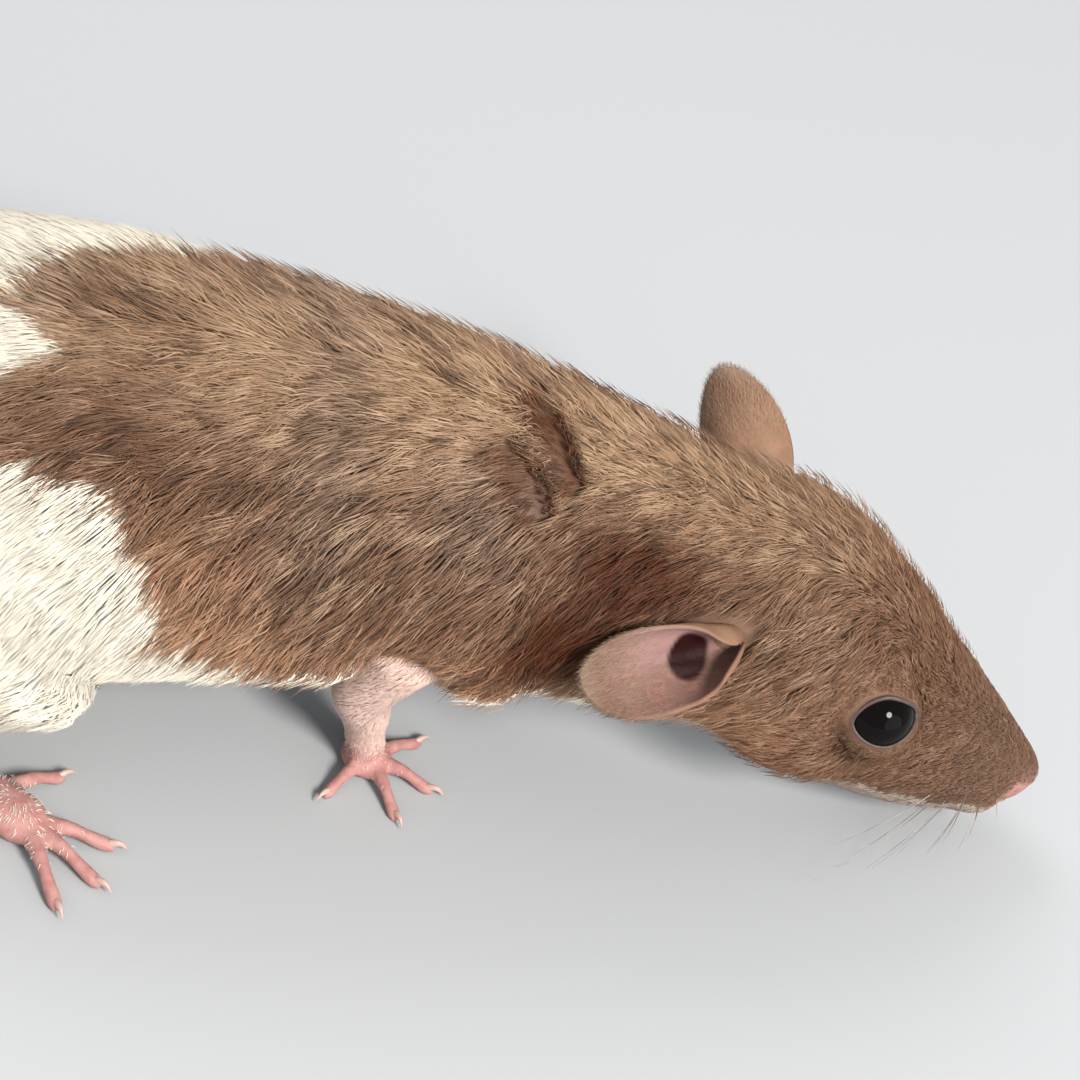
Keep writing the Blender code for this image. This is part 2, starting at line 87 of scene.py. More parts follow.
def settle(bm, name, *nodes, slot="bare"):
    """Carry a shape from the rat's frame into the frame of the solids, as a piece that rides on the model."""
    bm.transform(to_solids)
    bm.normal_update()
    mesh = bpy.data.meshes.new(name)
    bm.to_mesh(mesh)
    bm.free()
    mesh.shade_smooth()
    piece = linked(name, mesh)
    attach(piece, "root")
    if nodes:
        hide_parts(*nodes)
    return piece


# Flesh
# One skin covers head, neck, trunk, legs and feet, and lies inside the solids by the depth of the coat.
# Lofted and rounded forms are fused into one surface, softened, and made finer round the eyes and muzzle.
COAT_DEPTH = ((0.0, 0.0), (5.0, 0.3), (10.0, 0.55), (14.5, 0.7), (19.5, 0.9), (25.0, 1.2), (31.0, 1.6),
              (37.0, 2.0), (46.0, 2.5), (56.0, 2.9), (65.0, 3.1), (76.0, 3.3), (115.0, 3.3), (126.0, 3.0),
              (134.0, 2.6), (140.0, 2.0), (143.0, 1.0))
HEAD_ROWS = ((0.3, -1.4, 1.5, 1.6), (1.6, -2.1, 3.2, 3.1), (5.0, -3.2, 5.2, 5.4), (10.0, -3.8, 7.2, 7.8),
             (14.5, -3.9, 8.5, 9.4), (19.5, -3.5, 9.8, 10.7), (25.0, -3.0, 11.4, 12.2),
             (31.0, -2.3, 12.8, 13.2), (37.0, -1.7, 13.6, 13.6))
BODY_ROWS = ((46.0, 24.2, 14.2, 14.0, 20.0), (56.0, 26.0, 14.9, 15.0, 10.0), (65.0, 26.6, 16.7, 16.4, 3.0),
             (76.0, 26.6, 18.8, 17.7, 0.0), (90.0, 25.7, 21.8, 18.3, 0.0), (103.0, 24.4, 24.2, 18.8, 0.0),
             (115.0, 23.0, 24.4, 18.4, -3.0), (126.0, 21.3, 21.0, 16.5, -6.0),
             (134.5, 19.8, 15.2, 12.8, -9.0), (140.0, 18.8, 9.0, 8.5, -10.0), (142.6, 18.2, 3.5, 3.5, -10.0))
TRUNK_FULLNESS = 2.15
EYE_RADIUS = 3.6
EYE_OPENING = (3.2, 2.4)
EYE_OUT = (-0.05, 0.79, 0.60)
LIDS_ALONG = (0.68, 0.0, 0.73)
LID_BED = 4.5
LID_BED_SINK = 1.0
HIP_BACK = 111.0
PAW_HEIGHT = 0.95
FOOT_HEIGHT = 1.15
FORELEGS = ((RIGHT, -68.2, -10.0, -42.0), (LEFT, -60.0, 10.5, 25.0))
HINDLEGS = ((RIGHT, -101.0, -25.4, -34.0), (LEFT, -104.0, 24.0, 20.0))
FORE_TOES = ((86.0, 5.2), (21.0, 5.9), (-25.0, 5.7), (-79.0, 5.3))
THUMB_SPREAD = 122.0
MIDDLE_HIND_TOES = ((30.0, 8.5), (0.0, 8.2), (-30.0, 7.4))
OUTER_HIND_TOES = ((58.0, 6.2), (-66.0, 5.6))
SOLE_ROWS = ((-16.5, 0.4, 2.1), (-11.0, 0.2, 2.0), (-5.0, 0.2, 2.4), (0.0, 0.2, 2.7), (2.2, 0.0, 2.0))
TOE_ROWS = ((0.0, 0.4, 1.15), (0.35, 0.5, 1.0), (0.5, 0.35, 0.84), (0.65, 0.0, 0.85), (0.88, -0.5, 0.95),
            (1.0, -0.6, 0.6))
VOXEL = 0.3
CRISPEST, SOFTEST = 6.0, 60
SKIN_TRIANGLES = 85000


def hoop(bm, points):
    """A closed loop of edges through points."""
    made = bmesh.ops.create_circle(bm, segments=len(points), radius=1.0)["verts"]
    for vert, point in zip(made, points):
        vert.co = point
    return list({edge for vert in made for edge in vert.link_edges})


def on_oval(angle, fullness):
    """A point of an oval of half-width 1. A fullness of 2 gives a circle, and more fills its corners."""
    across, up = math.cos(angle), math.sin(angle)
    reach = (abs(across) ** fullness + abs(up) ** fullness) ** (-1.0 / fullness)
    return across * reach, up * reach


def ring(bm, place, wide, tall, fullness=2.0, sides=36):
    """An oval hoop across the X axis of a place."""
    points = []
    for angle in np.linspace(0.0, 2.0 * math.pi, sides, endpoint=False):
        across, up = on_oval(angle, fullness)
        points.append(place @ Vector((0.0, across * wide, up * tall)))
    return hoop(bm, points)


def loft(bm, rings, closed=False):
    """Join hoops into one tube, with a cap at either end unless it closes on itself."""
    for first, second in zip(rings, rings[1:] + rings[:1] if closed else rings[1:]):
        bmesh.ops.bridge_loops(bm, edges=first + second)
    for end in () if closed else (rings[0], rings[-1]):
        bmesh.ops.contextual_create(bm, geom=end)


def turned(forward, up):
    """A turn whose +X is forward and whose +Z is as near to up as it can be."""
    forward = forward.normalized()
    across = up.cross(forward).normalized()
    return Matrix((forward, across, forward.cross(across))).transposed().to_4x4()


def smooth_rows(knots, count):
    """Rows read at equal steps from a smooth curve through the knots' rows."""
    knots = np.array(knots, dtype=float)
    rows = []
    for place in np.linspace(0.0, len(knots) - 1.0, count):
        k = min(int(place), len(knots) - 2)
        t = place - k
        before, a, b = knots[max(k - 1, 0)], knots[k], knots[k + 1]
        after = knots[min(k + 2, len(knots) - 1)]
        rows.append(0.5 * (2.0 * a + (b - before) * t + (2.0 * before - 5.0 * a + 4.0 * b - after) * t ** 2
                           + (3.0 * a - before - 3.0 * b + after) * t ** 3))
    return np.array(rows)


def tube(bm, knots, flat=1.0, count=24, sides=18):
    """A closed tapered tube along a smooth curve. A knot is x, y, z and the radius."""
    rows = smooth_rows(knots, count)
    rings = []
    for k, row in enumerate(rows):
        ahead = Vector(rows[min(k + 1, count - 1)][:3]) - Vector(rows[max(k - 1, 0)][:3])
        place = at(*row[:3]) @ turned(ahead, Vector((0.02, 0.0, 1.0)))
        rings.append(ring(bm, place, row[3], row[3] * flat, 2.0, sides))
    loft(bm, rings)


def ball(bm, place, radii):
    swollen = place @ Matrix.Diagonal((*radii, 1.0))
    bmesh.ops.create_icosphere(bm, subdivisions=4, radius=1.0, matrix=swollen)


def table(rows, values):
    """The second column of some rows, read between them at values of the first."""
    return np.interp(values, *np.transpose(rows)[:2])


def coat_depth(back):
    """How deep the coat is at a distance back from the nose."""
    return table(COAT_DEPTH, back)


def trunk(bm):
    rings = []
    for back, height, wide, tall in smooth_rows(HEAD_ROWS, 28):
        depth = coat_depth(back)
        rings.append(ring(bm, head @ at(-back, 0.0, height), wide - depth, tall - depth, TRUNK_FULLNESS, 48))
    for back, height, wide, tall, pitch in smooth_rows(BODY_ROWS, 32):
        place = at(-back, 0.0, height) @ spun(pitch, "Y")
        depth = coat_depth(back)
        rings.append(ring(bm, place, wide - depth, tall - depth, TRUNK_FULLNESS, 48))
    loft(bm, rings)


def eye_place(side):
    """The eyeball's place. Its +Z looks out of the socket and its +X runs along the lids to the nose."""
    out = Vector((EYE_OUT[0], side * EYE_OUT[1], EYE_OUT[2])).normalized()
    along = Vector(LIDS_ALONG)
    return head @ at(-EYE_BACK, side * EYE_ASIDE, EYE_UP) @ turned(along - out * out.dot(along), out)


def face(bm):
    """Nose, lower jaw, whisker pads, brows, cheeks and the mounds that the eyes sit in."""
    ball(bm, head @ at(-1.5, 0.0, -1.0), (1.75, 2.05, 1.65))
    ball(bm, head @ at(-9.9, 0.0, -9.3) @ spun(-10.0, "Y"), (6.9, 3.3, 2.8))
    for side in (RIGHT, LEFT):
        ball(bm, head @ at(-6.8, side * 2.8, -4.4), (4.9, 2.6, 2.9))
        ball(bm, head @ at(-29.3, side * 7.4, 3.5), (4.2, 2.0, 2.0))
        ball(bm, head @ at(-30.0, side * 7.6, -5.2), (8.6, 4.4, 5.3))
        ball(bm, eye_place(side) @ at(0.0, 0.0, -LID_BED_SINK), (LID_BED, LID_BED, LID_BED))


def toe(bm, place, start, length, radius):
    """A knuckled toe that arches and comes down to its pad."""
    knots = []
    for along, up, thick in TOE_ROWS:
        knots.append((*(place @ Vector((start + along * length, 0.0, up))), thick * radius))
    tube(bm, knots, 1.0, 14, 14)


def foreleg_toes(side, foot_x, foot_y, turn):
    """The place, start, length and radius of each toe of a forepaw: four toes and a short thumb."""
    paw = at(foot_x, foot_y, PAW_HEIGHT) @ spun(turn, "Z")
    toes = []
    for spread, length in FORE_TOES:
        toes.append((paw @ spun(side * spread, "Z"), 1.4, length, 0.72))
    toes.append((paw @ spun(-side * THUMB_SPREAD, "Z"), 0.8, 2.2, 0.6))
    return toes


def hindleg_toes(side, foot_x, foot_y, turn):
    """The place, start, length and radius of each of a hind foot's five toes."""
    foot = at(foot_x, foot_y, FOOT_HEIGHT) @ spun(turn, "Z")
    toes = []
    for spread, length in MIDDLE_HIND_TOES:
        toes.append((foot @ at(0.4, 0.0, 0.0) @ spun(side * spread, "Z"), 1.6, length, 0.8))
    for spread, length in OUTER_HIND_TOES:
        root = foot @ at(-3.2, math.copysign(1.5, side * spread), 0.0)
        toes.append((root @ spun(side * spread, "Z"), 1.0, length, 0.75))
    return toes


def foreleg(bm, side, foot_x, foot_y, turn):
    ball(bm, at(foot_x + 2.5, side * 10.5, 24.5), (8.2, 4.6, 8.6))
    tube(bm, ((foot_x - 0.5, side * 12.0, 21.0, 4.3), (foot_x - 3.2, foot_y + side * 1.4, 13.0, 3.1),
              (foot_x - 2.0, foot_y + side * 0.5, 8.4, 2.45), (foot_x - 1.2, foot_y, 5.0, 2.0),
              (foot_x - 0.6, foot_y, 2.6, 1.9)))
    paw = at(foot_x, foot_y, PAW_HEIGHT) @ spun(turn, "Z")
    ball(bm, paw @ at(-0.2, 0.0, 0.2), (2.7, 2.4, 1.6))
    for place, start, length, radius in foreleg_toes(side, foot_x, foot_y, turn):
        toe(bm, place, start, length, radius)


def hindleg(bm, side, foot_x, foot_y, turn):
    ball(bm, at(-HIP_BACK, side * 14.6, 20.0) @ spun(25.0, "Y"), (15.0, 8.4, 12.0))
    foot = at(foot_x, foot_y, FOOT_HEIGHT) @ spun(turn, "Z")
    ankle, heel = [foot @ Vector((back, 0.0, 0.0)) for back in (-13.5, -15.5)]
    tube(bm, ((foot_x - 0.5, side * 18.5, 17.0, 4.9), (foot_x - 8.0, (side * 19.0 + ankle.y) / 2.0, 9.5, 3.6),
              (ankle.x, ankle.y, 5.6, 2.8), (heel.x, heel.y, 3.0, 2.2)))
    knots = []
    for ahead, up, thick in SOLE_ROWS:
        knots.append((*(foot @ Vector((ahead, 0.0, up))), thick))
    tube(bm, knots, 0.72, 16, 18)
    for place, start, length, radius in hindleg_toes(side, foot_x, foot_y, turn):
        toe(bm, place, start, length, radius)


def evaluated(obj):
    """The mesh of an object with its modifiers applied, as a new bmesh."""
    source = obj.evaluated_get(bpy.context.evaluated_depsgraph_get())
    bm = bmesh.new()
    bm.from_mesh(source.to_mesh())
    source.to_mesh_clear()
    return bm


def carried(points, place):
    """Points of the frame of a place, read in the rat's frame."""
    turn = np.array(place)
    return points @ turn[:3, :3].T + turn[:3, 3]


def in_frame(points, place):
    """Points of the rat's frame, read in the frame of a place."""
    return carried(points, place.inverted())


def folded(local):
    """Places of the head's frame with its right half laid over its left."""
    return local * (1.0, 0.0, 1.0) + np.abs(local) * (0.0, 1.0, 0.0)


def positions(bm):
    return np.array([vert.co for vert in bm.verts])


def normals_of(bm):
    bm.normal_update()
    return np.array([vert.normal for vert in bm.verts])


def move(bm, points):
    for vert, point in zip(bm.verts, points):
        vert.co = point


def step(low, high, values):
    """0 below low, 1 above high, and a smooth rise between them. High may be the lower of the two."""
    t = np.clip((values - low) / (high - low), 0.0, 1.0)
    return t * t * (3.0 - 2.0 * t)


def scratch_object(name, bm):
    mesh = bpy.data.meshes.new(name)
    bm.to_mesh(mesh)
    bm.free()
    return linked(name, mesh)


def fused_flesh():
    bm = bmesh.new()
    trunk(bm)
    face(bm)
    for leg in FORELEGS:
        foreleg(bm, *leg)
    for leg in HINDLEGS:
        hindleg(bm, *leg)
    bmesh.ops.recalc_face_normals(bm, faces=bm.faces)
    forms = scratch_object("forms", bm)
    fuse = forms.modifiers.new("fuse", "REMESH")
    fuse.mode = "VOXEL"
    fuse.voxel_size = VOXEL
    fused = scratch_object("fused", evaluated(forms))
    points = np.array([vert.co for vert in fused.data.vertices])
    back = -in_frame(points, head)[:, 0]
    softness = np.clip((CRISPEST + (back - 27.0) * 4.0) / SOFTEST, CRISPEST / SOFTEST, 1.0)
    softness[points[:, 2] < 4.5] = CRISPEST / SOFTEST
    group = fused.vertex_groups.new(name="soft")
    for level in np.unique(softness.round(2)):
        group.add(np.flatnonzero(softness.round(2) == level).tolist(), float(level), "REPLACE")
    soften = fused.modifiers.new("soften", "SMOOTH")
    soften.factor = 0.5
    soften.iterations = SOFTEST
    soften.vertex_group = "soft"
    thin = fused.modifiers.new("thin", "DECIMATE")
    thin.ratio = SKIN_TRIANGLES / (2.0 * len(fused.data.polygons))
    bm = evaluated(fused)
    for obj in (forms, fused):
        bpy.data.objects.remove(obj)
    return bm


def refine(bm, wanted):
    """Split the triangles whose corners are wanted into four."""
    edges = [edge for edge in bm.edges if wanted[edge.verts[0].index] or wanted[edge.verts[1].index]]
    bmesh.ops.subdivide_edges(bm, edges=edges, cuts=1, use_grid_fill=True)
    bmesh.ops.triangulate(bm, faces=bm.faces)
    bm.verts.index_update()


def face_area(points, muzzle_back, eye_reach):
    """Which points lie on the muzzle or round an eye."""
    wanted = in_frame(points, head)[:, 0] > -muzzle_back
    for side in (RIGHT, LEFT):
        wanted |= np.linalg.norm(in_frame(points, eye_place(side)), axis=1) < eye_reach
    return wanted


skin_bm = fused_flesh()
for muzzle_back, eye_reach in ((11.0, 6.0), (9.5, 5.2)):
    refine(skin_bm, face_area(positions(skin_bm), muzzle_back, eye_reach))
wanted = face_area(positions(skin_bm), 12.0, 6.5)
soft_verts = [vert for vert in skin_bm.verts if wanted[vert.index]]
for turn in range(4):
    bmesh.ops.smooth_vert(skin_bm, verts=soft_verts, factor=0.5,
                          use_axis_x=True, use_axis_y=True, use_axis_z=True)

# Face
# Folds pressed into the skin: the comma nostrils, the cleft below the nose, the line of the mouth and
# the openings of the lids, which drop below the eyeballs.
NOSTRIL_TRACK = ((-0.55, 1.05, -1.75), (-1.0, 1.6, -1.25), (-1.9, 2.0, -0.75), (-2.9, 2.3, -1.0))
NOSTRIL_DEPTHS = (0.75, 0.6, 0.32, 0.12)
CLEFT_TRACK = ((-0.2, 0.0, -2.0), (-0.5, 0.0, -3.4), (-1.6, 0.0, -5.4), (-3.0, 0.0, -7.0))
FOLD_TRACK = ((-13.5, 7.1, 0.4), (-9.8, 6.0, 0.2), (-6.2, 4.2, 0.9))
MOUTH_MIDDLE = (-7.5, 0.0, -6.4)
MOUTH_SPREAD = 118.0
LID_FULLNESS = 1.72
LID_TAPER = 0.14


def near_track(points, track):
    """The distance of each point from a chain of places, and how far along the chain it lies."""
    best = np.full(len(points), 1e9)
    where = np.zeros(len(points))
    track = np.array(track)
    for k, (start, end) in enumerate(zip(track, track[1:])):
        t = np.clip((points - start) @ (end - start) / ((end - start) @ (end - start)), 0.0, 1.0)
        reach = np.linalg.norm(points - (start + t[:, None] * (end - start)), axis=1)
        closer = reach < best
        best[closer] = reach[closer]
        where[closer] = k + t[closer]
    return best, where


def close_to(points, track, reach):
    """1 on a chain of places, and a soft fall to 0 past a reach."""
    return np.exp(-(near_track(points, track)[0] / reach) ** 2)


def press(bm, points, depth):
    """Points pushed in along their own normals."""
    return points - normals_of(bm) * depth[:, None]


def mouth_track(tree):
    """Places on the skin along the line where the lips meet."""
    start = head @ Vector(MOUTH_MIDDLE)
    places = []
    for angle in np.radians(np.linspace(-MOUTH_SPREAD, MOUTH_SPREAD, 41)):
        way = Vector((math.cos(angle), 0.75 * math.sin(angle), -0.12 - 0.10 * math.cos(angle)))
        places.append(tree.ray_cast(start, (head.to_3x3() @ way).normalized())[0])
    return places


def lid_reach(points, side):
    """Points in the eye's frame, and how far out each is: 1 on the edge of the opening of the lids."""
    local = in_frame(points, eye_place(side))
    wide, tall = EYE_OPENING
    across = np.abs(local[:, 0]) / wide
    up = np.abs(local[:, 1]) / (tall * (1.0 - LID_TAPER * local[:, 0] / wide))
    reach = (across ** LID_FULLNESS + up ** LID_FULLNESS) ** (1.0 / LID_FULLNESS)
    reach[local[:, 2] < 0.0] = 9.0
    return local, reach


mouth = mouth_track(BVHTree.FromBMesh(skin_bm))
points = positions(skin_bm)
local = in_frame(points, head)
mirrored = folded(local)
reach, along = near_track(mirrored, NOSTRIL_TRACK)
nostril = np.exp(-(reach / 0.34) ** 2) * np.interp(along, range(4), NOSTRIL_DEPTHS)
cleft = 0.28 * close_to(local, CLEFT_TRACK, 0.24)
reach, along = near_track(points, mouth)
lip_line = 0.5 * np.exp(-(reach / 0.26) ** 2)
lip_roll = 0.16 * np.exp(-((reach - 0.65) / 0.3) ** 2)
fold = 0.3 * close_to(mirrored, FOLD_TRACK, 0.35)
points = press(skin_bm, points, nostril + cleft + lip_line - lip_roll + fold)
for side in (RIGHT, LEFT):
    local, reach = lid_reach(points, side)
    flat = np.hypot(local[:, 0], local[:, 1])
    below_eye = np.sqrt(np.clip(EYE_RADIUS ** 2 - flat ** 2, 0.0, None)) - 0.7
    fold = 0.16 * np.exp(-((reach - 1.25) / 0.14) ** 2) - 0.16 * np.exp(-((reach - 1.62) / 0.13) ** 2)
    inside = 1.0 - step(0.98, 1.1, reach)
    local[:, 2] += fold
    local[:, 2] = np.where(reach < 1.2, local[:, 2] * (1.0 - inside) + below_eye * inside, local[:, 2])
    points = carried(local, eye_place(side))
points[:, 2] = np.maximum(points[:, 2], 0.03)
move(skin_bm, points)

# Markings
# A brown hood covers the head, neck and shoulders and ends in a lobe along the right of the back; the rest
# is cream white, and the toes, nose and lips are bare. Skin and coat read the same shapes from here.
HOOD_EDGE = ((-180.0, -28.0), (-138.0, -30.0), (-126.0, -34.0), (-118.0, -50.0), (-111.0, -65.0),
             (-105.0, -79.0), (-99.0, -87.0), (-91.0, -91.0), (-79.0, -92.5), (-68.0, -93.5),
             (-60.0, -95.0), (-54.0, -97.5), (-51.0, -101.0), (-48.0, -108.0), (-43.5, -116.0),
             (-34.0, -113.0), (-27.0, -109.0), (-15.0, -105.5), (-6.0, -107.0), (0.0, -111.0),
             (12.0, -108.0), (22.0, -105.0), (29.0, -99.0),
             (36.0, -92.0), (45.0, -89.0), (62.0, -92.0), (91.0, -91.0), (99.0, -87.0), (105.0, -79.0),
             (111.0, -65.0), (118.0, -50.0), (126.0, -34.0), (138.0, -30.0), (180.0, -28.0))
CHIN_EDGE = ((0.0, 104.0), (6.0, 108.0), (18.0, 116.0), (27.0, 138.0), (44.0, 148.0))
# Slots and a parting in the coat: the tufts that cross the slots are cut short, and the shade inside the
# slots and the parting is painted dark.
SLOTS = (((-60.8, 0.2, 41.0), (-58.4, -5.6, 38.7)), ((-64.2, -5.4, 39.8), (-61.1, -8.2, 37.4)))
# Patches behind the ears: partly darker fur, partly painted shade where the ears shadow the neck.
BEHIND_EAR = ((1.4, (-54.5, 14.6, 27.5), (7.4, 6.5, 5.6)), (1.1, (-45.5, 10.5, 34.0), (7.0, 5.0, 4.0)),
              (0.7, (-53.0, 9.5, 36.0), (6.0, 5.0, 4.5)))
PARTING = ((-103.0, 1.5, 40.5), (-97.0, 0.5, 40.5), (-92.0, -1.0, 40.5))


def ripple(points, length, seed):
    """Smooth noise of about -1 to 1, made of a few crossed waves of about one length."""
    rng = np.random.default_rng(seed)
    total = np.zeros(len(points))
    for k in range(7):
        way = rng.normal(size=3)
        way *= 2.0 * math.pi / (length * rng.uniform(0.65, 1.5) * np.linalg.norm(way))
        total += np.sin(points @ way + rng.uniform(0.0, 2.0 * math.pi))
    return total / 3.4


def blob(points, centre, radii):
    """1 in the middle of an ellipsoid, and a soft fall to 0 past its edge."""
    return np.exp(-1.2 * np.sum(((points - centre) / radii) ** 2, axis=1) ** 1.3)


def round_angle(points):
    """The angle round the trunk, in degrees: 0 on the back, -90 on the right, 90 on the left."""
    middle = table(BODY_ROWS, -points[:, 0])
    trunk_angle = np.degrees(np.arctan2(points[:, 1], points[:, 2] - middle))
    local = in_frame(points, head)
    head_angle = np.degrees(np.arctan2(local[:, 1], local[:, 2] + 3.0))
    return np.where(-local[:, 0] < 40.0, head_angle, trunk_angle)


def markings(points):
    """How much each place shares in the hood and in its tints, each from 0 to 1."""
    angle = round_angle(points)
    local = in_frame(points, head)
    back = -local[:, 0]
    edge = table(HOOD_EDGE, angle)
    ahead = points[:, 0] - edge + 1.4 * ripple(points, 7.0, 11)
    hood = step(-1.2, 1.8, ahead)
    chin = step(8.0, -8.0, np.abs(angle) - table(CHIN_EDGE, back) + 4.0 * ripple(points, 6.0, 12))
    low_leg = step(16.5, 20.0, points[:, 2] + 1.0 * ripple(points, 5.0, 13))
    hood *= np.where(back < 44.0, chin, 1.0) * np.where(back < 50.0, 1.0, low_leg)
    top = step(62.0, 12.0, np.abs(angle))
    near_edge = step(15.0, 1.0, ahead) * step(35.0, 70.0, np.abs(angle))
    low_flank = step(72.0, 102.0, np.abs(angle)) * step(50.0, 64.0, -points[:, 0])
    cheek = blob(folded(local), (-36.0, 12.0, -7.0), (8.0, 9.0, 6.0))
    # Painted shade behind the ears, over darker fur there.
    behind_ear_dark_and_shade = np.zeros(len(points))
    for side in (RIGHT, LEFT):
        for strength, (x, y, z), radii in BEHIND_EAR:
            behind_ear_dark_and_shade += strength * blob(points, (x, side * y, z), radii)
    limb = np.zeros(len(points))
    for side, foot_x, foot_y, turn in FORELEGS:
        arm = ((foot_x - 0.5, side * 12.0, 19.0), (foot_x - 3.2, foot_y + side * 1.4, 13.0),
               (foot_x - 0.6, foot_y, 2.6))
        limb = np.maximum(limb, step(7.5, 4.5, near_track(points, arm)[0]))
    on_trunk = (1.0 - limb) * step(8.0, 20.0, points[:, 2])
    lobe = blob(points, (-98.0, -12.0, 38.0), (14.0, 8.0, 7.0))
    # Painted shade in the slots and the parting.
    painted_slot_shade = sum(close_to(points, track, 1.7) for track in SLOTS)
    painted_slot_shade += 0.7 * close_to(points, PARTING, 1.6)
    grey = blob(points, (-65.0, -10.0, 37.5), (5.0, 5.0, 5.0))
    clouds = step(0.1, 0.9, ripple(points, 24.0, 14)) * step(48.0, 66.0, -points[:, 0])
    muzzle = step(26.0, 8.0, back)
    # Ashy fur on the muzzle and in patches of the hood, and painted shade on the white of the chin and throat
    # under the head.
    ashy_fur_and_chin_shade = hood * (0.5 * muzzle + 0.7 * grey + 0.6 * clouds) + step(34.0, 26.0, back) * (1.0 - hood)
    nose = step(4.2, 2.4, back) * step(0.8, -0.8, local[:, 2])
    feet = step(5.2, 3.4, points[:, 2]) * step(20.0, 26.0, back)
    return {
        "hood": np.clip(hood, 0.0, 1.0),
        "pale": np.clip(top * (0.6 * step(28.0, 40.0, back) + 0.4 * step(44.0, 58.0, back)), 0.0, 1.0),
        "warm": np.clip(0.9 * near_edge + 0.8 * low_flank + 0.8 * cheek, 0.0, 1.0),
        # Dark places: darker fur, and painted shade behind the ears and in the slots and the parting.
        "dark_fur_and_painted_shade": np.clip(behind_ear_dark_and_shade + 0.55 * lobe + painted_slot_shade + 0.3 * step(44.0, 20.0, back), 0.0, 1.0),
        "grey": np.clip(ashy_fur_and_chin_shade, 0.0, 1.0),
        "limb": limb,
        "thin": (0.42 + 0.30 * step(0.0, -13.0, ahead)) * step(34.0, 58.0, back) * on_trunk,
        "bare": np.clip(feet + 0.7 * nose, 0.0, 1.0),
    }


def add_layer(mesh, name, values):
    layer = mesh.attributes.new(name, "FLOAT", "POINT")
    layer.data.foreach_set("value", np.asarray(values, dtype=np.float32))


class Wire:
    """One socket of a material, or none yet. Sums written with it add their Math nodes."""

    def __init__(self, tree, socket=None):
        self.tree = tree
        self.socket = socket

    def add(self, kind, settings=None, sockets=None, out=0):
        """Any node: its settings are set first, then its sockets get values or links."""
        node = self.tree.nodes.new(kind)
        for name, value in (settings or {}).items():
            setattr(node, name, value)
        for name, value in (sockets or {}).items():
            self.feed(node.inputs[name], value)
        return Wire(self.tree, node.outputs[out])

    def feed(self, socket, value):
        if isinstance(value, Wire):
            self.tree.links.new(value.socket, socket)
        else:
            socket.default_value = value

    def sum(self, operation, first, second):
        return self.add("ShaderNodeMath", {"operation": operation}, {0: first, 1: second})

    def __add__(self, other):
        return self.sum("ADD", self, other)

    def __sub__(self, other):
        return self.sum("SUBTRACT", self, other)

    def __rsub__(self, other):
        return self.sum("SUBTRACT", other, self)

    def __mul__(self, other):
        return self.sum("MULTIPLY", self, other)

    __radd__ = __add__
    __rmul__ = __mul__

    def rise(self, low, high):
        """0 below low, 1 above high, and a smooth rise between them."""
        return self.add("ShaderNodeMapRange", {"interpolation_type": "SMOOTHSTEP"},
                        {"Value": self, "From Min": low, "From Max": high})

    def mix(self, first, second):
        """This much of the second colour over the first."""
        first, second = [value if isinstance(value, Wire) else (*value, 1.0) for value in (first, second)]
        return self.add("ShaderNodeMix", {"data_type": "RGBA"}, {0: self, 6: first, 7: second}, out=2)

    def layer(self, name):
        return self.add("ShaderNodeAttribute", {"attribute_name": name}, out="Fac")

    def noise(self, scale, detail=3.0, stretch=(1.0, 1.0, 1.0)):
        """Cloudy noise on the object's own coordinates, in cells of about 1 / scale metres."""
        place = self.add("ShaderNodeTexCoord", out="Object")
        place = self.add("ShaderNodeMapping", sockets={"Vector": place, "Scale": stretch})
        return self.add("ShaderNodeTexNoise", sockets={"Vector": place, "Scale": scale, "Detail": detail})


def new_finish(name, roughness, specular):
    """A material of one roughness and specular level, its wires and its shader."""
    finish = bpy.data.materials.new(name)
    finish.use_nodes = True
    shader = finish.node_tree.nodes["Principled BSDF"]
    shader.inputs["Roughness"].default_value = roughness
    shader.inputs["Specular IOR Level"].default_value = specular
    return finish, Wire(finish.node_tree), shader


def paint(wires, shader, colour):
    wires.feed(shader.inputs["Base Color"], colour)


def bump(wires, shader, height, distance, strength):
    sockets = {"Strength": strength, "Distance": distance, "Height": height}
    wires.feed(shader.inputs["Normal"], wires.add("ShaderNodeBump", sockets=sockets))


def clouded_finish(name, roughness, specular, scale, first, second):
    """A material that drifts between two colours, in clouds of about 1 / scale metres."""
    finish, wires, shader = new_finish(name, roughness, specular)
    paint(wires, shader, wires.noise(scale).mix(first, second))
    return finish, wires, shader


BROWN = (0.245, 0.132, 0.077)
TAN = (0.400, 0.245, 0.145)
ORANGE = (0.470, 0.245, 0.140)
# Dark red-brown of darker fur and of painted shade.
DEEP_BROWN_AND_SHADE = (0.095, 0.026, 0.008)
ASH = (0.200, 0.138, 0.108)
CREAM = (0.87, 0.79, 0.65)
SLATE = (0.080, 0.054, 0.040)
PINK = (0.57, 0.29, 0.26)


def hood_tint(wires):
    """The hood's colour: brown, pale along the back, orange low on the sides, ashy in places, and dark in
    places, partly darker fur and partly painted shade behind the ears and in the slots of the coat.
    """
    tint = wires.layer("pale").mix(BROWN, TAN)
    tint = wires.layer("warm").mix(tint, ORANGE)
    tint = (wires.layer("grey") * 0.8).mix(tint, ASH)
    return wires.layer("dark_fur_and_painted_shade").mix(tint, DEEP_BROWN_AND_SHADE)


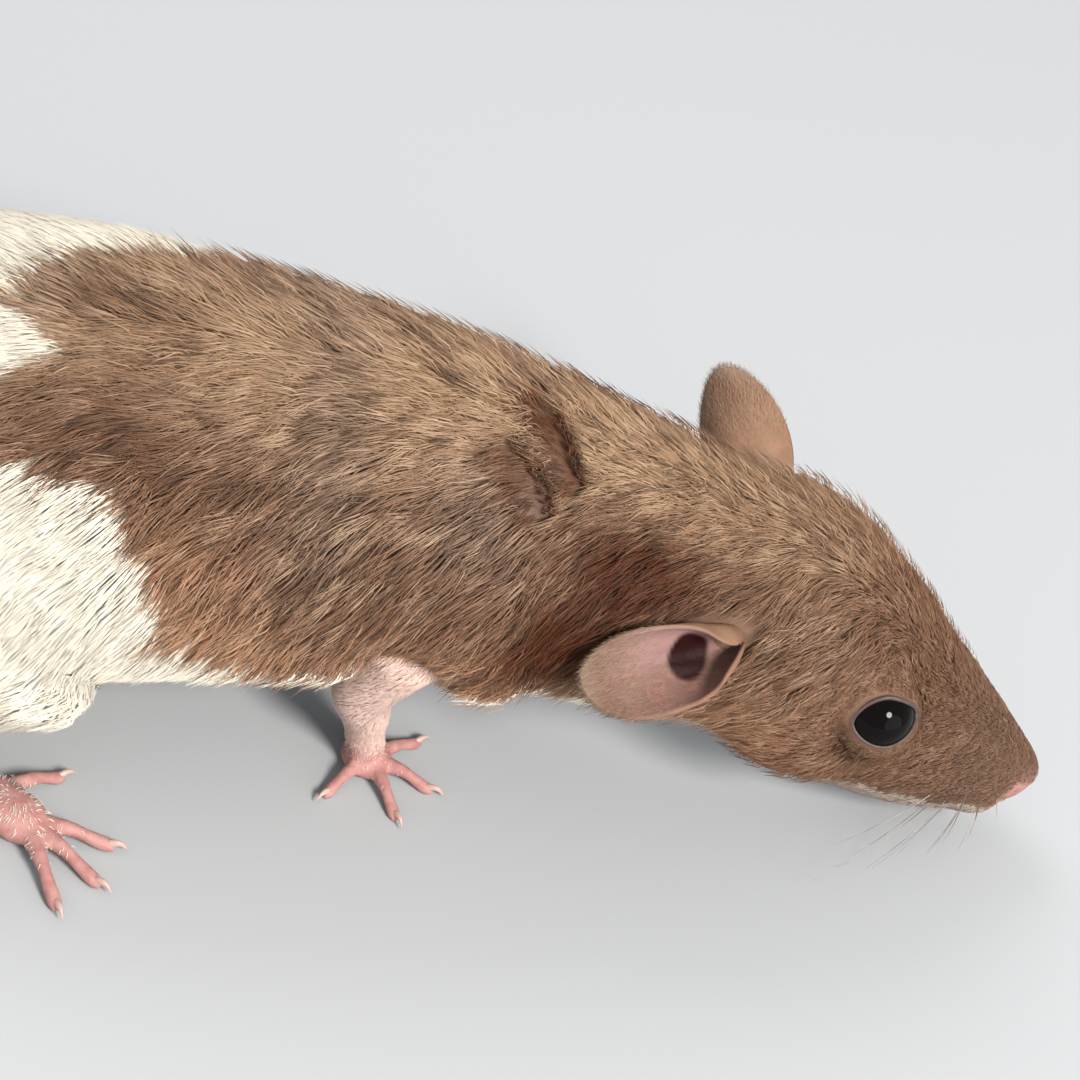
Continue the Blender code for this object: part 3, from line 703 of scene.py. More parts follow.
def skin_finish():
    finish, wires, shader = new_finish("skin under the coat", 0.62, 0.35)
    under_hood = (wires.noise(1800.0) * 0.4).mix(hood_tint(wires), SLATE)
    white = (wires.layer("limb") * 0.8).mix(CREAM, (0.78, 0.46, 0.39))
    coat = wires.layer("hood").mix(white, under_hood)
    bare = wires.noise(900.0).rise(0.35, 0.7).mix(PINK, (0.48, 0.215, 0.19))
    bare = wires.layer("blush").mix(bare, (0.42, 0.12, 0.10))
    colour = wires.layer("bare").mix(coat, bare)
    # Painted shade in the creases of the nostrils, the mouth and the folds, and the dark edge of the lids.
    paint(wires, shader, wires.layer("crease_shade_and_lid_edge").mix(colour, (0.10, 0.045, 0.038)))
    bump(wires, shader, wires.noise(2600.0, 4.0) + wires.noise(900.0, 2.0), 0.00012, 0.7)
    return finish


points = positions(skin_bm)
points = press(skin_bm, points, -coat_depth(-points[:, 0]) * markings(points)["thin"])
move(skin_bm, points)
local = in_frame(points, head)
skin = settle(skin_bm, "skin", "head", "neck", "torso_front", "torso_rear", "foreleg_right", "foreleg_left",
              "hindleg_right", "hindleg_left", slot="coat")
for name, values in markings(points).items():
    add_layer(skin.data, name, values)
mirrored = folded(local)
add_layer(skin.data, "blush", np.clip(blob(mirrored, (-1.2, 1.4, -2.0), (1.6, 1.2, 1.2)), 0.0, 1.0))
# Painted shade: the nostrils, the line of the mouth and the folds by the whisker pads are dark where they
# crease; the edge of the lids is dark skin.
crease_shade_and_lid_edge = close_to(mirrored, NOSTRIL_TRACK[:2], 0.42)
crease_shade_and_lid_edge += 0.8 * close_to(points, mouth, 0.22) + 0.55 * close_to(mirrored, FOLD_TRACK, 0.3)
for side in (RIGHT, LEFT):
    crease_shade_and_lid_edge += step(1.25, 1.05, lid_reach(points, side)[1])
add_layer(skin.data, "crease_shade_and_lid_edge", np.clip(crease_shade_and_lid_edge, 0.0, 1.0))
skin.data.materials.append(skin_finish())

# Eyes
# Black bulging eyes, wet and glossy, each held by lids whose dark rims lie close on the ball.
RIM_RADIUS = 0.2
RIM_STEPS = 72
RIM_OUTSIDE = 0.12


def lid_rim(bm, side):
    """A soft cord of skin round the opening of the lids."""
    over = EYE_RADIUS + 0.07
    rings = []
    for angle in np.linspace(0.0, 2.0 * math.pi, RIM_STEPS, endpoint=False):
        across, up = on_oval(angle, LID_FULLNESS)
        x = across * (EYE_OPENING[0] + RIM_OUTSIDE)
        y = up * (EYE_OPENING[1] + RIM_OUTSIDE) * (1.0 - LID_TAPER * math.cos(angle))
        lift = math.sqrt(over ** 2 - x ** 2 - y ** 2)
        spot = eye_place(side) @ at(x, y, lift) @ Matrix.Rotation(angle + math.pi / 2.0, 4, "Z")
        thick = RIM_RADIUS * (1.0 + 0.25 * math.sin(angle))
        rings.append(ring(bm, spot, thick, thick * 1.1, 2.0, 14))
    loft(bm, rings, closed=True)


def lid_finish():
    finish, wires, shader = clouded_finish(
        "rim of the lids", 0.42, 0.45, 1500.0, (0.05, 0.032, 0.027), (0.13, 0.085, 0.07))
    bump(wires, shader, wires.noise(5200.0), 0.00005, 0.6)
    return finish


eye_gloss = clouded_finish(
    "wet black eye", 0.04, 0.13, 700.0, (0.0012, 0.001, 0.001), (0.004, 0.002, 0.0016))[0]
for name, side in (("eye_right", RIGHT), ("eye_left", LEFT)):
    bm = bmesh.new()
    bmesh.ops.create_icosphere(bm, subdivisions=5, radius=EYE_RADIUS, matrix=eye_place(side))
    settle(bm, name, name, slot="eye").data.materials.append(eye_gloss)
bm = bmesh.new()
for side in (RIGHT, LEFT):
    lid_rim(bm, side)
bmesh.ops.recalc_face_normals(bm, faces=bm.faces)
settle(bm, "lid_rims").data.materials.append(lid_finish())

# Ears
# Thin cupped leaves of skin with a rolled root that leads into the canal, whose shade is painted near black.
# The right one is laid back and turned up, and the left one stands. A fold runs along the inside, and fine
# veins show in the skin.
EAR_THICK = 0.6
RIGHT_EAR_ROWS = ((-0.20, 0.32, 172.0, -0.8), (-0.06, 0.50, 166.0, -0.2), (0.07, 0.64, 146.0, 0.0),
                  (0.20, 0.80, 112.0, 0.0), (0.38, 0.94, 84.0, 0.2), (0.57, 1.0, 66.0, 0.3),
                  (0.76, 0.94, 54.0, 0.1), (0.90, 0.70, 42.0, -0.3), (0.97, 0.42, 32.0, -0.6),
                  (1.0, 0.16, 26.0, -0.8))
LEFT_EAR_ROWS = ((-0.15, 0.60, 128.0, 0.0), (0.0, 0.74, 118.0, 0.0), (0.18, 0.90, 100.0, 0.0),
                 (0.38, 1.0, 80.0, 0.2), (0.58, 0.95, 64.0, 0.3), (0.76, 0.78, 52.0, 0.1),
                 (0.90, 0.53, 42.0, -0.3), (0.97, 0.32, 34.0, -0.6), (1.0, 0.15, 28.0, -0.8))
EARS = (("ear_right", (-44.9, -11.4, -0.1), (-0.88, -0.43, -0.18), (0.40, -0.66, 0.63), 13.3, 4.4,
         RIGHT_EAR_ROWS),
        ("ear_left", (-41.3, 11.0, -1.0), (-0.28, 0.81, 0.52), (0.30, 0.32, -0.33), 12.9, 4.65,
         LEFT_EAR_ROWS))
CANAL_AT = 0.20
CANAL_REACH = (0.165, 46.0)


def ear_place(root, along, facing):
    return at(*(head @ Vector(root))) @ turned(Vector(along), Vector(facing))


def cup_radius(width, bend, half_width):
    return width * half_width / math.sin(min(math.radians(bend), math.pi / 2.0))


def cup_radii(along, rows, half_width):
    """The radius of the ear's cup at shares of its length."""
    return table([(row[0], cup_radius(row[1], row[2], half_width)) for row in rows], along)


def ear(name, root, along, facing, length, half_width, rows):
    place = ear_place(root, along, facing)
    bm = bmesh.new()
    rings = []
    for t, width, bend, lean in smooth_rows(rows, 64):
        radius = cup_radius(width, bend, half_width)
        bend = math.radians(bend)
        thick = EAR_THICK * (1.0 - 0.35 * max(t, 0.0))
        share = max(0.0, math.sin(math.pi * min(max(t, 0.0), 1.0)))
        steps = np.linspace(-1.0, 1.0, 37)
        outline = [(radius + 0.05 * share * math.sin(9.0 * s + 7.0 * t), s * bend) for s in steps]
        for s in steps[::-1]:
            fold = 0.30 * math.exp(-((s - 0.30 + 0.35 * t) / 0.10) ** 2)
            fold += 0.22 * math.exp(-((s + 0.25 + 0.2 * t) / 0.16) ** 2)
            outline.append((radius - thick * (1.0 - 0.25 * s * s) - fold * share, s * bend * 0.985))
        corners = []
        for reach, angle in outline:
            up = radius - reach * math.cos(angle) + lean
            corners.append(place @ Vector((t * length, reach * math.sin(angle), up)))
        rings.append(hoop(bm, corners))
    loft(bm, rings)
    bmesh.ops.recalc_face_normals(bm, faces=bm.faces)
    local = in_frame(positions(bm), place)
    normals = normals_of(bm) @ np.array(place.to_3x3().inverted()).T
    along = local[:, 0] / length
    middle = cup_radii(along, rows, half_width)
    to_axis = -normals[:, 1] * local[:, 1] - normals[:, 2] * (local[:, 2] - middle)
    inside = step(-0.3, 0.9, to_axis)
    aside = np.degrees(np.arctan2(local[:, 1], np.maximum(middle - local[:, 2], 0.01))) / CANAL_REACH[1]
    reach = np.hypot((along - CANAL_AT) / CANAL_REACH[0], aside)
    # Painted shade: the mouth of the canal, deep in the rolled root, is painted near black.
    painted_canal_shade = inside * step(1.12, 0.88, reach + 0.08 * np.sin(3.0 * aside + 9.0 * along))
    leaf = settle(bm, name, name)
    add_layer(leaf.data, "painted_canal_shade", painted_canal_shade)
    add_layer(leaf.data, "inside", inside)
    add_layer(leaf.data, "out", np.clip(along, 0.0, 1.0))
    add_layer(leaf.data, "side", np.clip(local[:, 1] / half_width * 0.5 + 0.5, 0.0, 1.0))
    return leaf


def ear_finish():
    finish, wires, shader = new_finish("thin ear skin", 0.6, 0.2)
    clouds = wires.noise(420.0).rise(0.3, 0.75)
    outside = clouds.mix((0.315, 0.185, 0.115), (0.275, 0.15, 0.09))
    cup = clouds.mix((0.26, 0.148, 0.115), (0.22, 0.115, 0.088))
    tint = wires.layer("inside").mix(outside, cup)
    # Partly pinker skin and partly painted light: one half of the cup's inside, towards the root, is paler
    # where it faces the light.
    pale = wires.layer("inside") * wires.layer("side").rise(0.62, 0.42) * wires.layer("out").rise(0.98, 0.5)
    tint = pale.mix(tint, (0.34, 0.20, 0.18))
    grain = wires.noise(650.0, 2.0, (1.0, 1.6, 1.0))
    veins = grain.rise(0.52, 0.6) * grain.rise(0.68, 0.6)
    tint = (veins * 0.3).mix(tint, (0.45, 0.20, 0.16))
    tint = wires.layer("out").rise(0.88, 1.0).mix(tint, (0.38, 0.27, 0.19))
    # Painted shade in the canal.
    paint(wires, shader, wires.layer("painted_canal_shade").mix(tint, (0.022, 0.002, 0.002)))
    bump(wires, shader, wires.noise(1900.0, 4.0), 0.00012, 0.6)
    return finish


ear_skin = ear_finish()
leaves = [ear(*shape) for shape in EARS]
for leaf in leaves:
    leaf.data.materials.append(ear_skin)

# Claws
# A short curved claw of pale horn grows from the end of each of the twenty toes. Each is a tapered tube
# whose root is sunk in its toe and whose point is bent towards the ground.
CLAW_ROWS = ((-0.7, -0.3, 0.34), (0.0, 0.05, 0.29), (0.5, 0.02, 0.20), (0.9, -0.25, 0.11), (1.15, -0.5, 0.03))


def claw(bm, place, start, length, radius):
    knots = []
    for past_toe, up, thick in CLAW_ROWS:
        knots.append((*(place @ Vector((start + length + past_toe, 0.0, up))), thick * radius / 0.75))
    tube(bm, knots, 1.25, 10, 10)


claw_horn = clouded_finish("claw horn", 0.3, 0.5, 1200.0, (0.70, 0.50, 0.43), (0.62, 0.38, 0.32))[0]
bm = bmesh.new()
for toes in ([foreleg_toes(*leg) for leg in FORELEGS] + [hindleg_toes(*leg) for leg in HINDLEGS]):
    for place, start, length, radius in toes:
        claw(bm, place, start, length, radius)
for vert in bm.verts:
    vert.co.z = max(vert.co.z, 0.05)
bmesh.ops.recalc_face_normals(bm, faces=bm.faces)
settle(bm, "claws").data.materials.append(claw_horn)

# Tail
# A long tapered tail in overlapping rings of small scales, pink below and greyer above. It comes down from
# the rump and lies on the ground.
TAIL_ROOT_RADIUS = 3.4
TAIL_TIP_RADIUS = 0.85
TAIL_SINK = 0.2
TAIL_PLACES = ((-133.0, 0.0, 19.0), (-141.0, 0.0, 17.5), (-148.5, 0.5, 12.0), (-155.5, 1.8, 6.0),
               (-164.0, 3.5, 0.0), (-178.0, 5.5, 0.0), (-194.0, 4.0, 0.0), (-209.0, -1.5, 0.0),
               (-222.0, -9.5, 0.0), (-231.0, -18.5, 0.0))
TAIL_RINGS = 120
TAIL_SIDES = 36


def tail_route():
    rows = []
    for k, (x, y, z) in enumerate(TAIL_PLACES):
        along = k / (len(TAIL_PLACES) - 1.0)
        radius = TAIL_ROOT_RADIUS + (TAIL_TIP_RADIUS - TAIL_ROOT_RADIUS) * along ** 0.8
        rows.append((x, y, max(z, radius - TAIL_SINK), radius))
    return smooth_rows(rows, 400)


def tail_spot(route, along):
    """The place and radius at a share of the tail's length."""
    k = min(int(along * 398.0), 397)
    row = route[k] + (route[k + 1] - route[k]) * (along * 398.0 - k)
    ahead = Vector(route[k + 1][:3]) - Vector(route[k][:3])
    return at(*row[:3]) @ turned(ahead, Vector((0.0, 0.0, 1.0))), row[3]


def tail_tube(route):
    bm = bmesh.new()
    lengths = TAIL_RINGS * 6
    bmesh.ops.create_grid(bm, x_segments=lengths, y_segments=TAIL_SIDES, size=0.5)
    spots = [tail_spot(route, k / lengths) for k in range(lengths + 1)]
    for vert in bm.verts:
        along = vert.co.x + 0.5
        k = round(along * lengths)
        place, radius = spots[k]
        edge = (k % 6) / 5.0
        round_tip = math.sqrt(max(0.0, 1.0 - max(0.0, (along - 0.985) / 0.015) ** 2))
        angle = (vert.co.y + 0.5) * 2.0 * math.pi
        wave = 0.5 + 0.5 * math.cos(angle * 12.0 + math.pi * (k // 6))
        reach = radius * (0.965 + 0.035 * edge ** 1.5 + 0.012 * wave * edge) * round_tip
        vert.co = place @ Vector((0.0, math.cos(angle) * reach, math.sin(angle) * reach))
        vert.co.z = max(vert.co.z, 0.02)
    bmesh.ops.remove_doubles(bm, verts=bm.verts, dist=0.002)
    rim = [edge for edge in bm.edges if edge.is_boundary]
    bmesh.ops.holes_fill(bm, edges=rim, sides=0)
    bmesh.ops.recalc_face_normals(bm, faces=bm.faces)
    return bm


def tail_finish():
    finish, wires, shader = new_finish("scaly tail skin", 0.6, 0.3)
    tint = wires.noise(600.0).rise(0.3, 0.7).mix((0.72, 0.46, 0.40), (0.60, 0.37, 0.32))
    paint(wires, shader, (wires.layer("upper") * 0.7).mix(tint, (0.36, 0.27, 0.24)))
    bump(wires, shader, wires.noise(3000.0, 4.0), 0.00008, 0.7)
    return finish


bm = tail_tube(tail_route())
upper = step(0.0, 0.9, normals_of(bm)[:, 2])
tail = settle(bm, "tail", "tail_1", "tail_2", "tail_3", "tail_4")
add_layer(tail.data, "upper", upper)
tail.data.materials.append(tail_finish())

# Coat
# Short soft fur in thin spindle tufts, laid back along the body and down its sides. The tufts are seeded
# over the skin, bend with it, and draw together into small locks. Each is one slim solid, sunk at its root.
TUFTS = 238000
COAT_LENGTH = ((0.0, 0.7), (5.0, 0.9), (10.0, 1.3), (15.0, 1.8), (20.0, 2.3), (25.0, 2.8), (31.0, 3.4),
               (37.0, 4.0), (46.0, 4.6), (60.0, 5.2), (80.0, 5.8), (130.0, 5.8), (143.0, 4.4))
COAT_WIDTH = ((0.0, 0.065), (10.0, 0.075), (20.0, 0.085), (31.0, 0.1), (46.0, 0.115), (65.0, 0.13),
              (143.0, 0.135))
COAT_LAYERS = ((0.0, 1.5), (10.0, 1.9), (25.0, 3.0), (33.0, 4.4), (45.0, 5.0), (143.0, 5.0))
TRUNK_LEAN = ((0.0, 14.0), (25.0, 22.0), (50.0, 42.0), (90.0, 55.0), (115.0, 50.0), (150.0, 18.0),
              (180.0, 8.0))
HEAD_LEAN = ((0.0, 0.0), (15.0, 14.0), (40.0, 20.0), (70.0, 24.0), (110.0, 22.0), (180.0, 5.0))
NECK_FROM, NECK_TO = 36.0, 50.0
RING_AT = 0.45
ROOT_SINK = 0.2
LOCK_SPACING = 13.0
LOCK_REACH = 1.5
GUARD_SHARE = 0.05
PATCH_SIZE = 0.003
WHOLE = (("", 0.0),)
HALVES = (("_right", RIGHT), ("_left", LEFT))
COAT_PARTS = (("coat_muzzle", 0.0, 15.0, WHOLE, "coat"), ("coat_cheek", 15.0, 32.0, HALVES, "coat"),
              ("coat_crown", 32.0, 47.0, HALVES, "coat"), ("coat_neck", 47.0, 66.0, WHOLE, "coat"),
              ("coat_saddle", 66.0, 94.0, HALVES, "coat"), ("coat_rump", 94.0, 150.0, HALVES, "white"))
SEED = 5


def unit(vectors):
    return vectors / np.maximum(np.linalg.norm(vectors, axis=1, keepdims=True), 1e-9)


def flattened(vectors, normals):
    """Vectors laid into the skin, at full length."""
    return unit(vectors - normals * np.sum(vectors * normals, axis=1, keepdims=True))


def distance_back(points):
    """The distance back from the nose, read along the head and then along the trunk."""
    in_head = -in_frame(points, head)[:, 0]
    share = step(NECK_FROM, NECK_TO, in_head)
    return in_head * (1.0 - share) - points[:, 0] * share


def leaning_back(normals, aside, lean):
    """Ways that point back and turn down the sides, each by its own lean."""
    flat = np.zeros(len(normals))
    down = unit(np.stack([flat, aside * normals[:, 2], -aside * normals[:, 1]], axis=1))
    return np.stack([-np.cos(lean), flat, flat], axis=1) + down * np.sin(lean)[:, None]


def crown_side(local):
    """1 on the sides of the crown, behind the eyes and before the ears."""
    angle = np.abs(np.degrees(np.arctan2(local[:, 1], local[:, 2] + 3.0)))
    along = step(25.0, 31.0, -local[:, 0]) * step(46.0, 40.0, -local[:, 0])
    return along * step(12.0, 30.0, angle) * step(86.0, 66.0, angle)


def lie_of_coat(points, normals):
    """Which way the coat lies at each place."""
    angle = np.abs(round_angle(points))
    aside = np.clip(points[:, 1] / 3.0, -1.0, 1.0)
    trunk_way = leaning_back(normals, aside, np.radians(table(TRUNK_LEAN, angle)))
    trunk_way[:, 2] -= 0.9 * step(124.0, 140.0, -points[:, 0])
    local = in_frame(points, head)
    turn = np.array(head.to_3x3())
    lean = table(HEAD_LEAN, angle) + 42.0 * crown_side(local)
    head_way = leaning_back(normals @ turn, np.clip(local[:, 1] / 2.5, -1.0, 1.0), np.radians(lean))
    for side in (RIGHT, LEFT):
        away = local - np.array((-EYE_BACK, side * EYE_ASIDE, EYE_UP))
        reach = np.linalg.norm(away, axis=1)
        head_way += unit(away) * (1.3 * np.exp(-(reach / 5.4) ** 2))[:, None]
    head_way = head_way @ turn.T
    share = step(NECK_FROM, NECK_TO, -local[:, 0])[:, None]
    way = head_way * (1.0 - share) + trunk_way * share
    low = (step(15.0, 8.0, points[:, 2]) * step(40.0, 50.0, -local[:, 0]))[:, None]
    way = way * (1.0 - 0.8 * low) + np.array((0.1, 0.0, -1.0)) * low
    return flattened(way, normals)


def read_mesh(mesh):
    """The corners of a mesh's triangles, and its places and normals in the rat's frame."""
    mesh.calc_loop_triangles()
    corners = np.empty(len(mesh.loop_triangles) * 3, dtype=np.int32)
    mesh.loop_triangles.foreach_get("vertices", corners)
    places, normals = np.empty((2, len(mesh.vertices) * 3))
    mesh.vertices.foreach_get("co", places)
    mesh.vertices.foreach_get("normal", normals)
    return corners.reshape(-1, 3), in_frame(places.reshape(-1, 3), to_solids), normals.reshape(-1, 3)


def seed_roots(mesh, density, count, rng):
    """Random places on a mesh, a given number in all, shared out by a density. Gives normals too."""
    corners, places, normals = read_mesh(mesh)
    a, b, c = [places[corners[:, k]] for k in range(3)]
    area = np.linalg.norm(np.cross(b - a, c - a), axis=1)
    need = np.cumsum(area * density((a + b + c) / 3.0))
    chosen = np.searchsorted(need, (np.arange(count) + rng.random(count)) * need[-1] / count)
    chosen = np.minimum(chosen, len(need) - 1)
    s, t = rng.random((2, count))
    s, t = np.where(s + t > 1.0, 1.0 - s, s), np.where(s + t > 1.0, 1.0 - t, t)
    share = np.stack([1.0 - s - t, s, t], axis=1)
    roots = sum(places[corners[chosen, k]] * share[:, k:k + 1] for k in range(3))
    ups = unit(sum(normals[corners[chosen, k]] * share[:, k:k + 1] for k in range(3)))
    return roots, ups


def leg_share(points, limb):
    """1 on the body, and less and less down the legs."""
    share = step(4.0, 18.0, points[:, 2]) * (1.0 - 0.75 * limb)
    return np.where(distance_back(points) > 48.0, share, 1.0)


def coat_size(points):
    """Length, height of the tips over the skin, and width of a tuft at each place."""
    back = distance_back(points)
    marks = markings(points)
    leg = leg_share(points, marks["limb"])
    length = table(COAT_LENGTH, back) * (0.16 + 0.84 * leg)
    depth = coat_depth(back) * (0.08 + 0.92 * leg) * (1.0 - marks["thin"]) + 0.05
    width = table(COAT_WIDTH, back) * (0.6 + 0.4 * leg)
    for side in (RIGHT, LEFT):
        near = step(1.1, 3.6, lid_reach(points, side)[1])
        length = np.minimum(length, 0.4 + length * near)
        depth = np.minimum(depth, 0.1 + depth * near)
        width = np.minimum(width, 0.09 + width * near)
    return length, depth, width


def grows(points):
    """1 where hair grows, 0 on bare skin."""
    share = step(0.75, 0.25, markings(points)["bare"])
    share = np.maximum(share, 0.3 * step(1.6, 3.4, points[:, 2]) * (distance_back(points) > 30.0))
    for side in (RIGHT, LEFT):
        share *= step(1.16, 1.3, lid_reach(points, side)[1])
    share *= step(142.4, 140.5, -points[:, 0])
    share *= 1.0 - close_to(points, mouth, 0.4)
    return share * (1.0 - 0.85 * close_to(folded(in_frame(points, head)), FOLD_TRACK, 0.4))


def coat_density(points):
    length, depth, width = coat_size(points)
    leg = leg_share(points, markings(points)["limb"])
    layers = table(COAT_LAYERS, distance_back(points)) * (0.22 + 0.78 * leg)
    return layers * grows(points) / (length * width + 0.03)


def on_skin(places):
    """The nearest skin and its normal, for many places."""
    found = [coat_tree.find_nearest(place)[:2] for place in places.tolist()]
    return np.array([spot for spot, up in found]), np.array([up for spot, up in found])


def lead(roots, spacing, rng):
    """For each tuft the one that leads its lock: the nearest of a few picked ones."""
    picked = np.flatnonzero(rng.random(len(roots)) < 1.0 / spacing)
    near = KDTree(len(picked))
    for k, index in enumerate(picked):
        near.insert(roots[index], k)
    near.balance()
    return picked[[near.find(root)[1] for root in roots.tolist()]]


def in_cup(points):
    """Which points lie in the hollow of an ear."""
    inside = np.zeros(len(points), dtype=bool)
    for name, root, along, facing, length, half_width, rows in EARS:
        local = in_frame(points, ear_place(root, along, facing))
        share = local[:, 0] / length
        radius = cup_radii(share, rows, half_width)
        bend = np.radians(table([(row[0], row[2]) for row in rows], share))
        from_axis = np.hypot(local[:, 1], local[:, 2] - radius)
        below_rim = local[:, 2] < radius * (1.0 - np.cos(bend)) + 0.3
        inside |= (from_axis < radius + 0.1) & below_rim & (share > -0.25) & (share < 0.85)
    return inside


def cut_short(roots, way, length, slot):
    """Lengths that end before a slot in the coat, for the tufts that would lie across it."""
    start, end = np.array(slot)
    t = np.clip((roots - start) @ (end - start) / ((end - start) @ (end - start)), 0.0, 1.0)
    to_slot = start + t[:, None] * (end - start) - roots
    ahead = np.sum(to_slot * way, axis=1)
    aside = np.linalg.norm(to_slot - way * ahead[:, None], axis=1)
    across = (ahead > 0.0) & (ahead < length + 0.3) & (aside < 1.6)
    return np.where(across, np.maximum(ahead - 0.3, 0.7), length)


def tuft_mesh(name, tufts, chosen, spots, layers, finish):
    """Spindles as one mesh: a root, three corners round the thickest place, and a tip. Each has its own small
    patch on the unwrap of the skin, and shades as soft as the coat that it lies in."""
    roots, middles, tips = [tufts[key][chosen] for key in ("root", "middle", "tip")]
    widths, ups, soft = [tufts[key][chosen] for key in ("width", "up", "soft")]
    count = len(roots)
    way = unit(tips - roots)
    across = unit(np.cross(way, ups))
    lift = np.cross(way, across)
    lift *= np.sign(np.sum(lift * ups, axis=1, keepdims=True))
    points = np.empty((count, 5, 3))
    normals = np.empty((count, 5, 3))
    points[:, 0], points[:, 4] = roots, tips
    normals[:, 0], normals[:, 4] = ups, unit(ups * (0.8 + soft[:, None]) + way * 0.3)
    for k, angle in enumerate(np.radians((90.0, 210.0, 330.0))):
        radial = across * math.cos(angle) + lift * math.sin(angle)
        points[:, 1 + k] = middles + radial * widths[:, None] * 0.5
        normals[:, 1 + k] = unit(ups * (0.6 + soft[:, None]) + radial * 0.5)
    points = carried(points.reshape(-1, 3), to_solids)
    faces = np.array(((0, 2, 1), (0, 3, 2), (0, 1, 3), (1, 2, 4), (2, 3, 4), (3, 1, 4)))
    handed = np.sum(np.cross(across, lift) * way, axis=1) > 0.0
    corners = np.where(handed[:, None, None], faces, faces[:, ::-1]) + np.arange(count)[:, None, None] * 5
    patch = []
    for k, turned_back in enumerate((False, False, False, True, True, True)):
        left = (k % 3) / 3.0
        foot, far = (0.45, 1.0) if turned_back else (0.45, 0.0)
        patch.append(((left + 0.17, far), (left + 0.33, foot), (left, foot)))
    corners = corners.reshape(-1)
    mesh = bpy.data.meshes.new(name)
    mesh.vertices.add(len(points))
    mesh.vertices.foreach_set("co", points.ravel())
    mesh.loops.add(len(corners))
    mesh.loops.foreach_set("vertex_index", corners)
    mesh.polygons.add(len(corners) // 3)
    mesh.polygons.foreach_set("loop_start", np.arange(0, len(corners), 3))
    mesh.update(calc_edges=True)
    chart = (spots[chosen][:, None, :] + (np.array(patch).reshape(-1, 2) - 0.5) * PATCH_SIZE).reshape(-1)
    mesh.uv_layers.new(name="OFBake").data.foreach_set("uv", chart)
    for layer, values in layers.items():
        add_layer(mesh, layer, np.repeat(values[chosen], 5))
    add_layer(mesh, "along", np.tile((0.0, RING_AT, RING_AT, RING_AT, 1.0), count))
    mesh.shade_smooth()
    mesh.normals_split_custom_set_from_vertices(normals.reshape(-1, 3))
    mesh.materials.append(finish)
    piece = linked(name, mesh)
    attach(piece, "root")


def coat_finish():
    finish, wires, shader = new_finish("agouti coat", 0.6, 0.18)
    along, tone = wires.layer("along"), wires.layer("tone")
    hood = hood_tint(wires)
    # Fewer pale bands where the coat is dark, in darker fur and in painted shade.
    open_coat = 1.0 - wires.layer("dark_fur_and_painted_shade") * 0.85
    band = along.rise(0.3, 0.5) * along.rise(1.0, 0.85)
    ticking = wires.layer("ticking")
    hood = (tone.rise(0.5, 0.85) * band * open_coat * ticking * 0.7).mix(hood, (0.56, 0.39, 0.26))
    hood = (tone.rise(0.42, 0.12) * ticking * 0.7).mix(hood, (0.062, 0.040, 0.028))
    hood = (along.rise(0.36, 0.0) * 0.4).mix(hood, SLATE)
    white = tone.mix((0.91, 0.84, 0.71), CREAM)
    # White greyed by the same layer: painted shade under the chin.
    white = (wires.layer("grey") * 0.9).mix(white, (0.34, 0.25, 0.21))
    white = (wires.layer("limb") * 0.75).mix(white, (0.80, 0.50, 0.43))
    paint(wires, shader, wires.layer("hood").rise(0.38, 0.62).mix(white, hood))
    return finish


def spread(values):
    """Values stretched to the middle of the unit range."""
    low, high = values.min(), values.max()
    return 0.02 + 0.96 * (values - low) / (high - low)


corners, places, normals = read_mesh(skin.data)
coat_tree = BVHTree.FromPolygons(places.tolist(), corners.tolist())
rng = np.random.default_rng(SEED)
roots, ups = seed_roots(skin.data, coat_density, TUFTS, rng)
length, depth, width = coat_size(roots)
way = lie_of_coat(roots, ups)
back = distance_back(roots)
angle = round_angle(roots)
lively = step(14.0, 36.0, back)
leader = lead(roots, LOCK_SPACING, rng)
layers = markings(roots)
sway = 10.0 * ripple(roots, 9.0, 21) + 8.0 * ripple(roots, 3.5, 22) + 9.0 * rng.normal(size=TUFTS)[leader]
sway = sway * (0.35 + 0.65 * lively) * (0.35 + 0.65 * layers["hood"])
sway = np.radians(sway + rng.normal(0.0, 7.0, TUFTS))
way = way * np.cos(sway)[:, None] + np.cross(ups, way) * np.sin(sway)[:, None]
length = length * rng.uniform(0.7, 1.1, TUFTS) * (1.0 + 0.08 * ripple(roots, 6.0, 23))
for slot in SLOTS:
    length = cut_short(roots, way, length, slot)
first_spot, first_up = on_skin(roots + way * (length * RING_AT)[:, None])
tip_spot, tip_up = on_skin(first_spot + flattened(way, first_up) * (length * (1.0 - RING_AT))[:, None])
height = depth * rng.uniform(0.35, 0.95, TUFTS) * (1.0 + 0.14 * ripple(roots, 4.0, 24))
crown = step(28.0, 34.0, back) * step(50.0, 44.0, back) * step(80.0, 40.0, np.abs(angle))
height *= 1.0 - 0.15 * crown
white = step(0.6, 0.2, layers["hood"]) * step(20.0, 30.0, back)
width = width * (1.0 + 0.3 * white)
height *= 1.0 - 0.6 * layers["limb"]
guard = (rng.random(TUFTS) < GUARD_SHARE) & (back > 14.0) & (layers["hood"] > 0.5) & (layers["limb"] < 0.1)
height = np.where(guard, depth * 1.15 + 0.3, height)
middles = first_spot + first_up * (height * 0.68)[:, None]
tips = tip_spot + tip_up * height[:, None]
gap = np.linalg.norm(roots - roots[leader], axis=1)
pull = (0.36 * np.exp(-(gap / LOCK_REACH) ** 2) * np.where(guard, 0.2, 1.0))[:, None]
tips += (tips[leader] - tips) * pull
middles += (middles[leader] - middles) * pull * 0.45
for points in (middles, tips):
    points[:, 2] = np.maximum(points[:, 2], 0.1)
tufts = {"root": roots - ups * ROOT_SINK, "middle": middles, "tip": tips, "width": width, "up": ups,
         "soft": white * 1.5}
layers["hood"] = np.clip(layers["hood"] + rng.normal(0.0, 0.10, TUFTS), 0.0, 1.0)
